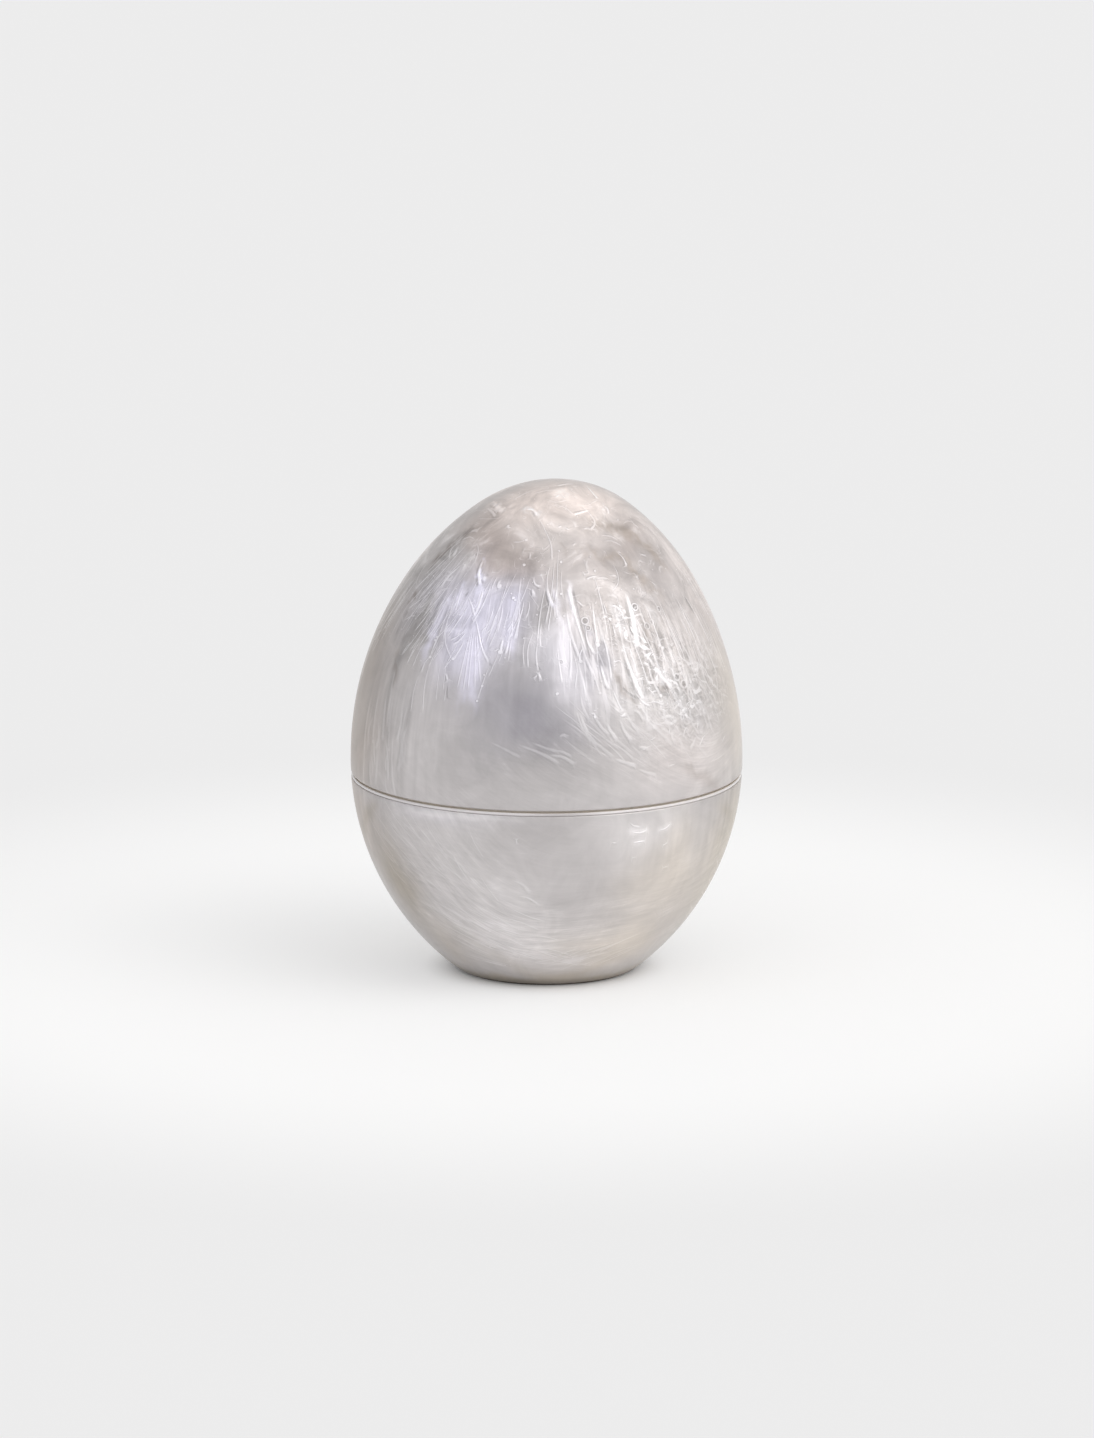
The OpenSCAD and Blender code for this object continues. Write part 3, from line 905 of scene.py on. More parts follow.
# Bubbles with a dark middle, the same way
BUBBLES_PX = [
    (1.0, 0.8, (585, 621)),
    (0.8, 0.8, (588, 628)),
    (0.8, 0.8, (573, 628)),
    (1.0, 0.9, (635, 607)),
    (0.9, 0.9, (647, 626)),
    (0.7, 0.7, (652, 622)),
    (0.8, 0.8, (652, 636)),
    (0.7, 0.7, (657, 641)),
    (0.7, 0.7, (640, 616)),
    (1.0, 0.9, (677, 677)),
    (1.1, 0.8, (684, 684)),
    (0.7, 0.7, (659, 609)),
    (0.8, 0.6, (662, 658)),
    (0.7, 0.7, (682, 717)),
    (0.7, 0.6, (561, 662)),
    (0.8, 0.7, (600, 640)),
]

# Strokes that are drawn by chance, between those: azimuth, height, how far they lie from there in degrees
# and in mm, their lean in degrees, their number, their least and greatest half width, and how bright they
# are. The back has them too, and the sides have some of their own.
CHANCE_STROKES = [
    (-46, 113, 11, 12, 20, 44, 0.25, 0.38, 1.0),
    (-60, 122, 8, 12, 26, 22, 0.25, 0.38, 1.0),
    (-24, 112, 10, 8, 12, 16, 0.25, 0.38, 1.0),
    (-5, 116, 9, 7, 4, 10, 0.3, 0.45, 1.0),
    (16, 110, 7, 10, -8, 8, 0.3, 0.6, 1.0),
    (40, 105, 10, 13, -12, 14, 0.3, 0.7, 1.0),
    (56, 106, 9, 13, -12, 20, 0.25, 0.4, 1.0),
    (-22, 20, 16, 9, -62, 44, 0.25, 0.4, 0.45),
    (0, 12, 22, 5, -76, 24, 0.25, 0.4, 0.45),
    (12, 12, 20, 6, 72, 20, 0.25, 0.45, 0.4),
    (-40, 44, 16, 12, -48, 30, 0.25, 0.4, 0.35),
    (36, 82, 22, 10, -38, 30, 0.3, 0.7, 0.3),
    (52, 88, 12, 8, -20, 24, 0.3, 0.7, 0.5),
    (-58, 76, 12, 16, -2, 26, 0.4, 0.9, 0.3),
]
SIDE_STROKES = [
    (-84, 112, 10, 14, 16, 24, 0.25, 0.4, 1.0),
    (78, 108, 10, 14, -10, 18, 0.25, 0.45, 1.0),
    (97, 108, 12, 15, -4, 34, 0.3, 0.7, 1.0),
    (97, 30, 18, 16, -60, 40, 0.25, 0.45, 0.4),
]
SEED = 11

# What chance decides of each: how far it starts below and above its row's height, in spreads, its length
# in mm, its brightness, how far its lean varies in degrees, and how much it bends in degrees for each mm
# of half width
STARTS = (-1, 0.4)
LENGTHS = (5, 20)
LIGHTS = (0.4, 0.9)
LEAN_CHANGE = 8
BEND = 2

# Where it may start and end, in mm, the distance from the axis at which its lean is reckoned, the share of
# strokes with a bead, and the bead's radius in half widths
LOWEST_START = 1.5
HIGHEST_START = 140
HIGHEST_END = 150
LEAN_R = 45
BEAD_SHARE = 0.5
BEAD_SIZE = 1.1

# A mesh carries its lines and beads in layers. A line's numbers reach so many half widths and mm to each
# side, and fade out from so many on. A line is half as thick at its end, and fades in and out over these
# shares and lengths.
STROKE_LAYERS = 9
REACH = (2.2, 1.3)
FADE = (1.6, 0.4)
TAPER = 0.5
FADE_IN = 0.12
FADE_IN_LENGTH = 1.0 * MM
FADE_OUT = 0.7

# A bead's numbers reach so many radii, and fade out over so many mm beyond
BEAD_LAYERS = 2
BEAD_REACH = 1.6
BEAD_FADE = 1.2


def curve(knots, steps=8):
    """A smooth line through a few places, as close places."""
    knots = np.array(knots)
    if len(knots) < 3:
        return knots
    ends = np.vstack([2 * knots[0] - knots[1], knots, 2 * knots[-1] - knots[-2]])
    points = []
    for a, b, c, d in zip(ends, ends[1:], ends[2:], ends[3:]):
        for t in np.arange(steps) / steps:
            points.append(0.5 * (2 * b + (c - a) * t + (2 * a - 5 * b + 4 * c - d) * t ** 2
                                 + (3 * b - a - 3 * c + d) * t ** 3))
    return np.array(points + [knots[-1]])


def chance_strokes():
    """The strokes that chance draws, with a bead at the lower end of some."""
    chance = random.Random(SEED)
    strokes, beads = [], []
    back = [(azimuth + BACK_TURN, *rest) for azimuth, *rest in CHANCE_STROKES]
    for azimuth, height, turn_spread, spread, lean, count, least, greatest, share in (
            CHANCE_STROKES + back + SIDE_STROKES):
        for _ in range(count):
            low = min(height + chance.uniform(*STARTS) * spread, HIGHEST_START)
            side = azimuth + chance.uniform(-1, 1) * turn_spread
            length = chance.uniform(*LENGTHS)
            half_width, light = chance.uniform(least, greatest), chance.uniform(*LIGHTS) * share
            slope = math.radians(lean + chance.uniform(-LEAN_CHANGE, LEAN_CHANGE))
            drift = math.degrees(math.sin(slope) * length / LEAN_R)
            bend = chance.uniform(-BEND, BEND) * half_width
            low = max(low, LOWEST_START)
            high = min(low + length * math.cos(slope), HIGHEST_END)
            knots = [place_at(side, low), place_at(side + drift / 2 + bend, (low + high) / 2),
                     place_at(side + drift, high)]
            strokes.append((half_width, light, curve(knots)))
            if chance.random() < BEAD_SHARE * share:
                beads.append((half_width * BEAD_SIZE, light, knots[0]))
    return strokes, beads


def close_to(path, places, reach):
    """The places, as their numbers, that may be closer to a path than a reach in mm."""
    middle = (path.min(0) + path.max(0)) / 2
    size = np.linalg.norm(path - middle, axis=1).max()
    return np.flatnonzero(np.linalg.norm(places - middle, axis=1) < size + reach * MM)


def beside(path, places):
    """For each place: how far it is across a path, with a sign for the side, the share of the path there,
    and how far it is from the path."""
    start, step = path[:-1], np.diff(path, axis=0)
    away = places[:, None] - start
    share = np.clip((away * step).sum(2) / (step ** 2).sum(1), 0, 1)
    gap = away - share[..., None] * step
    far = np.linalg.norm(gap, axis=2)
    best = far.argmin(1)
    rows = np.arange(len(places))
    outward_way = places - np.array([0, 0, WIDEST_Z])
    sideways = np.cross(step[best], outward_way)
    sideways /= np.linalg.norm(sideways, axis=1)[:, None]
    return (gap[rows, best] * sideways).sum(1), (best + share[rows, best]) / len(step), far[rows, best]


def rise(value, low, high):
    """From 0 at low to 1 at high, smoothly."""
    t = np.clip((value - low) / (high - low), 0, 1)
    return t * t * (3 - 2 * t)


def carry_strokes(piece, strokes):
    """Stores lines with the mesh. A layer has, at each vertex, the distance across the nearest line in mm,
    the line's half width in mm and its brightness. Lines that come close to each other are in different
    layers, and one that finds no free layer is left out."""
    places = vertex_places(piece)
    layers = [np.tile([0.0, 1.0, 0.0], (len(places), 1)) for _ in range(STROKE_LAYERS)]
    for half_width, light, path in strokes:
        near = close_to(path, places, REACH[0] * half_width + REACH[1])
        if not len(near):
            continue
        across, along, _ = beside(path, places[near])
        across = across / MM
        width = half_width * (1 - TAPER * along)
        shown = 1 - rise(np.abs(across), FADE[0] * width + FADE[1], REACH[0] * width + REACH[1])
        length = np.linalg.norm(np.diff(path, axis=0), axis=1).sum()
        shown *= rise(along, 0, max(FADE_IN, FADE_IN_LENGTH / length)) * (1 - rise(along, FADE_OUT, 1))
        lit = shown > 0
        near, across, width, shown = near[lit], across[lit], width[lit], shown[lit]
        for layer in layers:
            if not layer[near, 2].any():
                layer[near] = np.column_stack([across, width, light * shown])
                break
    for k, layer in enumerate(layers):
        store(piece, "stroke_%d" % k, layer)


def carry_beads(piece, beads):
    """Stores beads with the mesh. A layer has, at each vertex, how far it is from the nearest bead's middle,
    two ways, in radii of the bead, and the bead's brightness, below 0 for a bubble with a dark middle."""
    places = vertex_places(piece)
    layers = [np.zeros((len(places), 3)) for _ in range(BEAD_LAYERS)]
    for radius, light, middle in beads:
        away = (places - middle) / MM
        far = np.linalg.norm(away, axis=1)
        near = np.flatnonzero(far < radius * BEAD_REACH + 2 * BEAD_FADE)
        if not len(near):
            continue
        across = np.array([-middle[1], middle[0], 0])
        across /= np.linalg.norm(across)
        up = np.cross(middle - np.array([0, 0, WIDEST_Z]), across)
        up /= np.linalg.norm(up)
        shown = 1 - rise(far[near], BEAD_REACH * radius, BEAD_REACH * radius + BEAD_FADE)
        rows = np.column_stack([away[near] @ across / radius, away[near] @ up / radius, light * shown])
        for layer in layers:
            if not layer[near, 2].any():
                layer[near] = rows
                break
    for k, layer in enumerate(layers):
        store(piece, "bead_%d" % k, layer)


def carry_marks(piece):
    """Stores all the strokes and beads of the egg with the piece that they lie on."""
    strokes, beads = chance_strokes()
    bubbles = [(radius, -light, spot) for radius, light, spot in BUBBLES_PX]
    front = [(half_width, light, np.array([seen_at(*spot) for spot in spots]))
             for half_width, light, *spots in STROKES_PX + bubbles]
    back = [(half_width, light, moved_round(spots, BACK_TURN)) for half_width, light, spots in front]
    placed = front + back
    lines = [(half_width, light, curve(spots)) for half_width, light, spots in placed if len(spots) > 1]
    dots = [(radius, light, spots[0]) for radius, light, spots in placed if len(spots) == 1]
    carry_strokes(piece, lines + strokes)
    carry_beads(piece, dots + beads)


# Node trees, written as sums

class Field:
    """A value in a node tree. Sums, products and powers of fields make the Math nodes for them."""

    def __init__(self, tree, socket):
        self.tree = tree
        self.socket = socket

    def maths(self, operation, *others):
        node = self.tree.nodes.new("ShaderNodeMath")
        node.operation = operation
        for socket, value in zip(node.inputs, (self, *others)):
            feed(self.tree, socket, value)
        return Field(self.tree, node.outputs[0])

    def __add__(self, other):
        return self.maths("ADD", other)

    def __sub__(self, other):
        return self.maths("SUBTRACT", other)

    def __mul__(self, other):
        return self.maths("MULTIPLY", other)

    def __truediv__(self, other):
        return self.maths("DIVIDE", other)

    def __pow__(self, other):
        return self.maths("POWER", other)

    def __neg__(self):
        return self.maths("MULTIPLY", -1.0)

    __radd__ = __add__
    __rmul__ = __mul__

    def __rsub__(self, other):
        return (-self) + other

    def size(self):
        return self.maths("ABSOLUTE")

    def root(self):
        return self.maths("SQRT")

    def fraction(self):
        return self.maths("FRACT")

    def least(self, other):
        return self.maths("MINIMUM", other)

    def most(self, other):
        return self.maths("MAXIMUM", other)

    def along(self, direction):
        """How far a vector points along a direction."""
        node = self.tree.nodes.new("ShaderNodeVectorMath")
        node.operation = "DOT_PRODUCT"
        feed(self.tree, node.inputs[0], self)
        node.inputs[1].default_value = direction
        return Field(self.tree, node.outputs["Value"])

    def scaled(self, scale):
        """A vector or a colour, multiplied by a value."""
        node = self.tree.nodes.new("ShaderNodeVectorMath")
        node.operation = "SCALE"
        feed(self.tree, node.inputs[0], self)
        feed(self.tree, node.inputs["Scale"], scale)
        return Field(self.tree, node.outputs["Vector"])

    def ramp(self, low, high, start=0.0, end=1.0, kind="SMOOTHSTEP"):
        """Runs smoothly from start to end as the value goes from low to high."""
        node = self.tree.nodes.new("ShaderNodeMapRange")
        node.interpolation_type = kind
        for socket, value in zip(node.inputs, (self, low, high, start, end)):
            feed(self.tree, socket, value)
        return Field(self.tree, node.outputs[0])


def feed(tree, socket, value):
    """Links a field to a socket, or sets a plain value on it."""
    if isinstance(value, Field):
        tree.links.new(value.socket, socket)
    else:
        socket.default_value = value


class Paint:
    """A node tree, with short ways to add to it."""

    def __init__(self, tree):
        self.tree = tree
        self.tree.nodes.clear()

    def node(self, kind, inputs=(), **settings):
        node = self.tree.nodes.new(kind)
        for name, value in settings.items():
            setattr(node, name, value)
        for key, value in dict(inputs).items():
            feed(self.tree, node.inputs[key], value)
        return node

    def field(self, node, output=0):
        return Field(self.tree, node.outputs[output])

    def place(self):
        """X, Y and Z on the object in millimetres, and the vector of them."""
        vector = self.field(self.node("ShaderNodeTexCoord"), "Object").scaled(1 / MM)
        return (*self.parts(vector), vector)

    def parts(self, vector):
        node = self.node("ShaderNodeSeparateXYZ", {"Vector": vector})
        return [self.field(node, k) for k in range(3)]

    def vector(self, x, y, z=0.0):
        return self.field(self.node("ShaderNodeCombineXYZ", {"X": x, "Y": y, "Z": z}))

    def stored_colour(self, name):
        return self.field(self.node("ShaderNodeAttribute", attribute_name=name), "Color")

    def stored(self, name):
        """The three numbers that the mesh carries under a name."""
        return self.parts(self.field(self.node("ShaderNodeAttribute", attribute_name=name), "Vector"))

    def noise(self, vector, scale, detail, roughness=0.55, distortion=0.0):
        node = self.node("ShaderNodeTexNoise", {
            "Vector": vector, "Scale": scale, "Detail": detail, "Roughness": roughness,
            "Distortion": distortion})
        return self.field(node)

    def noise_by(self, vector, across, scale, detail, roughness):
        """Noise that also changes with a fourth value."""
        node = self.node("ShaderNodeTexNoise", noise_dimensions="4D")
        for name, value in (("Vector", vector), ("W", across), ("Scale", scale), ("Detail", detail),
                            ("Roughness", roughness)):
            feed(self.tree, node.inputs[name], value)
        return self.field(node)

    def mixed(self, share, first, second):
        node = self.node("ShaderNodeMix", data_type="RGBA", clamp_factor=True)
        feed(self.tree, node.inputs[0], share)
        feed(self.tree, node.inputs[6], first)
        feed(self.tree, node.inputs[7], second)
        return Field(self.tree, node.outputs[2])

    def surface(self, colour, roughness, normal=None, plain=None, **constants):
        """The Principled shader. Numbers that are the same all over go straight on its sockets. Plain is a
        colour that is seen as it is, without shading, and how much of it."""
        shader = self.node("ShaderNodeBsdfPrincipled", {"Base Color": colour, "Roughness": roughness})
        for name, value in constants.items():
            shader.inputs[name.replace("_", " ")].default_value = value
        if normal is not None:
            feed(self.tree, shader.inputs["Normal"], normal)
        seen = self.field(shader)
        if plain is not None:
            flat = self.node("ShaderNodeEmission", {"Color": plain[0], "Strength": 1.0})
            seen = self.field(self.node("ShaderNodeMixShader", {0: plain[1], 1: seen, 2: self.field(flat)}))
        feed(self.tree, self.node("ShaderNodeOutputMaterial").inputs["Surface"], seen)

    def bump(self, height, distance):
        inputs = {"Height": height, "Strength": 1.0, "Distance": distance}
        return self.field(self.node("ShaderNodeBump", inputs))


def material(name):
    """A new material and the paint of its node tree."""
    made = bpy.data.materials.new(name)
    made.use_nodes = True
    return made, Paint(made.node_tree)


# Materials

# The distance in mm from the axis at which turns are measured as lengths, and the places that the wisps
# and the strands across them run round
AROUND = 50.0
LID_WISPS = place_at(60, 125) / MM
BOWL_WISPS = Vector((18.6, 0, 80.5))
CROSS_CENTRE = place_at(20, 140) / MM

# What the brightest marks come close to, how much they take of it, and how far the shell's own tint is
# lifted
BRIGHT = tint_colour(244, (1, 4))
BRIGHT_SHARE = 0.9
TINT_LIFT = 1.55

# How much the dim marks darken the pearl. The painted shade at the foot: how dark it gets, and from and to
# which height in mm. The painted contact shadow along the foot: its brown, how much of it, and its heights
DIM_SHARE = 0.38
FOOT_SHADE_DEPTH = 0.86
CONTACT_SHADOW_TINT = tint_colour(96, RUST)
CONTACT_SHADOW_SHARE = 0.5
FOOT_SHADE_HEIGHTS = (0.5, 7.0)
CONTACT_SHADOW_HEIGHTS = (3.5, 0.5)

# The relief, what the bright marks, the dim ones and the silk take of it, and the roughness
# that the silk gives
RELIEF = 0.4 * MM
LIGHT_RELIEF, DIM_RELIEF, SILK_RELIEF = 0.5, 0.4, 0.2
SMOOTH_TO_ROUGH = (0.3, 0.7, 0.36, 0.46)

# Silk, from the broadest: changes a millimetre across and along, and detail
BROAD_SILK = (0.12, 0.012, 1.0)
SILK = (0.35, 0.03, 2.0)
HAIR = (1.1, 0.05, 2.0)
# The grooves: noise whose difference from itself turned a little is painted as light and shade
GROOVE = (0.4, 0.07, 1.0)
GROOVE_TURN = 0.012

# Noise that bends the wisps and the strands across them: changes a millimetre, detail, and how far it
# bends them
WISP_BEND = (0.02, 0.0, 26.0)
CROSS_BEND = (0.025, 0.0, 20.0)

# Wisps, their strands and the strands across them: changes a millimetre along and across, detail and
# roughness
WISP = (0.06, 0.4, 2.0, 0.6)
STRAND = (0.08, 2.4, 1.0, 0.5)
CROSSING = (0.07, 1.3, 2.0, 0.6)

# Cloud and the veils in it: changes a millimetre, detail, roughness and distortion
CLOUD = (0.075, 5.0, 0.62, 0.9)
VEIL = (0.12, 2.0, 0.55, 1.4)
VEIL_GAPS = (0.2, 1.0)
LEAF = (0.22, 3.0, 0.55, 1.2)
# The leaf's painted light and shade: its shift in mm, where highlight and shade come in, how deep the shade
LEAF_SHIFT = (0.35, 0.0, 0.5)
LEAF_HIGHLIGHT = (0.02, 0.09)
LEAF_SHADE = (-0.02, -0.08)
LEAF_SHADE_DEPTH = 0.6

# A carried line, from its middle in half widths: where it ends, and where the painted shade of its flank
# begins and ends, and how deep it is. Noise makes its edge ragged.
LINE_EDGE = (1.1, 0.3)
FLANK_BEGINS = (0.9, 1.3)
FLANK_ENDS = (2.4, 1.5)
FLANK_SHADE = 0.8
RAGGED = (0.9, 2.0, 0.6)
RAGGED_DEPTH = 1.2

# How deep each of these shades the pearl where it shows
BROAD_DEPTH, SILK_DEPTH, HAIR_DEPTH = 0.35, 0.7, 0.12
WISP_DEPTH, STRAND_DEPTH, CROSSING_DEPTH = 0.4, 0.3, 0.3
CLOUD_DEPTH, PLAIN_CLOUD_DEPTH = 0.9, 0.4
# How deep the grooves' painted light and shade goes, in the runs and in the lines
RUN_GROOVE_SHADING, LINE_GROOVE_SHADING = 1.2, 0.8

# Drawn-out strokes: the width and height of a cell in mm, a seed, their half width in mm, and how much
# they bend, lean and leave out
LINE_KIND = (1.5, 13.0, 3.1, 0.42, 0.8, 1.4, 0.1)
TALL_LINE_KIND = (2.2, 19.0, 17.7, 0.45, 1.0, 2.0, 0.1)
TALL_LINE_DRIFT = 0.12
RUN_KIND = (4.2, 24.0, 41.3, 0.8, 1.6, 1.4, 0.3)
SMALL_RUN_KIND = (2.6, 14.0, 71.9, 0.5, 1.0, 1.4, 0.2)
LINE_LIGHT = 0.65
SMALL_LIGHT = 0.8

# How they lean at each side of the egg, from a level in mm, and where the back begins, in radians
SLANT = (-1.0, 0.2, -0.35, 0.12)
SLANT_LEVEL = 112.0
BACK_BEGINS = (1.6, 1.8)
BACK_SEAM = (3.14, 3.0)

# Glints: cells a millimetre, how large they are in cells, and which cells have one
GLINT_CELLS = 0.3
GLINT_SIZE = (0.11, 0.05)
GLINT_CHANCE = (0.4, 0.6)
GLINT_CLOUD = 0.7
GLINT_MOST = 0.95


def drawn_strokes(p, across, along, wide, tall, seed, width, bend=1.0, lean=0.0, gaps=0.3):
    """Separate drawn-out strokes, one in each cell of wide by tall millimetres, and their beads. Each is
    thick at its lower end, where it has a bead, and thins out upwards."""
    cell = p.vector(across / wide + seed, along / tall + seed * 1.7)
    cells = p.node("ShaderNodeTexVoronoi", {"Vector": cell, "Scale": 1.0, "Randomness": 0.75},
                   voronoi_dimensions="2D", feature="F1")
    offset = p.node("ShaderNodeVectorMath", operation="SUBTRACT")
    feed(p.tree, offset.inputs[0], cell)
    feed(p.tree, offset.inputs[1], p.field(cells, "Position"))
    u, v, _ = p.parts(p.field(offset))
    x, y = u * wide, v * tall
    chance = p.node("ShaderNodeSeparateColor", {"Color": p.field(cells, "Color")})
    first, second, third = [p.field(chance, k) for k in range(3)]
    half = (first * 0.26 + 0.2) * tall
    t = y / half
    middle = (second - 0.5) * bend * (t * t) + (third - 0.5) * lean * t
    thick = t.ramp(-1, 1, width, width * 0.3, "LINEAR")
    line = (1 - (x - middle).size() / thick).most(0.0)
    window = t.ramp(-1.0, -0.8) * t.ramp(1.0, -0.3)
    shown = (first * 7.3 + third * 3.1).fraction().ramp(gaps, 1.0)
    head = (second - 0.5) * bend - (third - 0.5) * lean
    bead = (1 - ((x - head) ** 2 + (y + half) ** 2) / (width * width)).most(0.0)
    return line * window * shown, bead * shown


def carried_strokes(p, name, ragged):
    """The lines of one layer of the mesh, and what is dim: the painted shade of the flanks beside them, and
    the dark lines.
    """
    across, width, light = p.stored(name)
    far = across.size() / width + ragged * width
    bright = light.most(0.0)
    line = far.ramp(*LINE_EDGE)
    # Painted shade beside each bright line, deeper on one side of it
    flank_shade = far.ramp(*FLANK_BEGINS) * far.ramp(*FLANK_ENDS) * across.ramp(0.3, -0.3, 0.3, 1.0)
    flank_shade = flank_shade * width.ramp(0.2, 0.8)
    return line * bright, flank_shade * bright * FLANK_SHADE - line * light.least(0.0)


def carried_beads(p, name):
    """The beads of one layer of the mesh, the rings of its bubbles, and the bubbles' dark middles."""
    u, v, light = p.stored(name)
    far = u * u + v * v
    bubble = (-light).most(0.0)
    bright = far.ramp(1.0, 0.3) * light.most(0.0) + far.ramp(2.0, 1.2) * far.ramp(0.3, 0.9) * bubble
    return bright, far.ramp(0.8, 0.2) * bubble


def silk_noise(p, x, y, z, across, along, detail, turn=0.0):
    """Noise that is drawn out upwards, with so many changes a millimetre across and along."""
    around = AROUND * across
    return p.noise(p.vector((x - y * turn) * around, (y + x * turn) * around, z * along), 1.0, detail, 0.6)


def bent_distance(p, spot, place, centre, changes, detail, reach):
    """How far each place is from a centre, bent by noise."""
    return spot_distance(p, place, centre) + p.noise(spot, changes, detail) * reach


def strand_noise(p, spot, distance, along, across, detail, roughness):
    """Noise that is drawn out along the lines of equal distance from a centre."""
    return p.noise_by(spot.scaled(along), distance * across, 1.0, detail, roughness)


def woven(p, place, weave, marks, wisp_centre, depth):
    """Silk, wisps and cloud: the silk by itself, the shade that they all give, and how much is bright. The
    grooves in them add painted light and shade.
    """
    x, y, z, spot = place
    silk_share, wisp_share, cloud_share = weave
    line_share, run_share, _ = marks
    round_r = (x * x + y * y).root() + 0.01
    way = (x / round_r, y / round_r, z)
    broad, silk, hair = [silk_noise(p, *way, *kind) for kind in (BROAD_SILK, SILK, HAIR)]
    # Painted light and shade of grooves: the noise less itself turned a little, lighter on one side of each
    groove_shading = silk_noise(p, *way, *GROOVE) - silk_noise(p, *way, *GROOVE, GROOVE_TURN)
    rho = bent_distance(p, spot, p.vector(x, y * depth, z), wisp_centre, *WISP_BEND)
    wisp, strand = strand_noise(p, spot, rho, *WISP), strand_noise(p, spot, rho, *STRAND)
    crossing = strand_noise(p, spot, bent_distance(p, spot, spot, CROSS_CENTRE, *CROSS_BEND), *CROSSING)
    cloud = p.noise(spot, *CLOUD)
    veil = (p.noise(spot, *VEIL) - 0.5).size().ramp(0.03, 0.0) * p.noise(spot, *VEIL_GAPS).ramp(0.45, 0.65)

    silken = (broad - 0.5) * BROAD_DEPTH + (silk - 0.5) * SILK_DEPTH + (hair - 0.5) * HAIR_DEPTH
    wispy = (wisp - 0.5) * WISP_DEPTH + (strand - 0.5) * STRAND_DEPTH + (crossing - 0.5) * CROSSING_DEPTH
    shade = silken * silk_share + 1.0 + wispy * wisp_share
    shade = shade + (cloud - 0.5) * (cloud_share * CLOUD_DEPTH + PLAIN_CLOUD_DEPTH)
    shade = shade + groove_shading * (run_share * RUN_GROOVE_SHADING + line_share * LINE_GROOVE_SHADING)

    light = wisp.ramp(0.5, 0.7) * strand.ramp(0.42, 0.7).most(crossing.ramp(0.5, 0.7)) * wisp_share * 0.5
    light = light * cloud.ramp(0.42, 0.6) + veil * cloud_share * 0.5
    light = light + cloud.ramp(0.55, 0.7) * cloud_share * 0.4 + groove_shading.ramp(0.02, 0.09) * run_share * 0.4
    return silk, shade, light


def drawn_marks(p, place, marks):
    """The fine lines and the white runs that fill in between the marks that the mesh carries."""
    x, y, z, _ = place
    line_share, run_share, _ = marks
    turn = x.maths("ARCTAN2", -y)
    back_turn = ((turn - math.radians(BACK_TURN)) / math.tau + 0.5).fraction() * math.tau - math.pi
    away_from_seam = turn.size().ramp(*BACK_SEAM)
    behind = turn.size().ramp(*BACK_BEGINS)
    slant = turn.ramp(*SLANT) * (1 - behind) + back_turn.ramp(*SLANT) * behind
    u = turn * AROUND + (z - SLANT_LEVEL) * slant
    line_a, bead_a = drawn_strokes(p, u, z, *LINE_KIND)
    line_b, bead_b = drawn_strokes(p, u + z * TALL_LINE_DRIFT, z, *TALL_LINE_KIND)
    lines = ((line_a + line_b) * LINE_LIGHT + (bead_a + bead_b) * SMALL_LIGHT) * line_share * away_from_seam
    run_a, bead_c = drawn_strokes(p, u, z, *RUN_KIND)
    run_b, bead_d = drawn_strokes(p, u, z, *SMALL_RUN_KIND)
    runs = (run_a + bead_c + (run_b + bead_d) * SMALL_LIGHT) * run_share * away_from_seam
    return lines, runs


def carried_marks(p, spot, light):
    """The brightness with the lines and beads that the mesh carries, and what is dim beside and in them: the
    painted shade of the lines' flanks, the dark lines and the bubbles' dark middles.
    """
    dim = 0.0 * light
    ragged = (p.noise(spot, *RAGGED) - 0.5) * RAGGED_DEPTH
    for k in range(STROKE_LAYERS):
        bright, flank_shade = carried_strokes(p, "stroke_%d" % k, ragged)
        light = light.most(bright)
        dim = dim.most(flank_shade)
    for k in range(BEAD_LAYERS):
        bright, pit = carried_beads(p, "bead_%d" % k)
        light = light.most(bright)
        dim = dim.most(pit)
    return light, dim


def glints(p, spot, share):
    """Painted glints: small bright specks, as many as the share asks for."""
    cells = p.node("ShaderNodeTexVoronoi", {"Vector": spot, "Scale": GLINT_CELLS}, feature="F1")
    chance = p.node("ShaderNodeSeparateColor", {"Color": p.field(cells, "Color")})
    glint = p.field(cells, "Distance").ramp(*GLINT_SIZE) * p.field(chance).ramp(*GLINT_CHANCE)
    return glint * share.least(GLINT_MOST)


def crumpled(p, spot):
    """Painted light and shade on the slopes of crumpled leaf: the noise less itself a little shifted."""
    shifted = p.node("ShaderNodeVectorMath", operation="ADD")
    feed(p.tree, shifted.inputs[0], spot)
    shifted.inputs[1].default_value = LEAF_SHIFT
    return p.noise(spot, *LEAF) - p.noise(p.field(shifted), *LEAF)


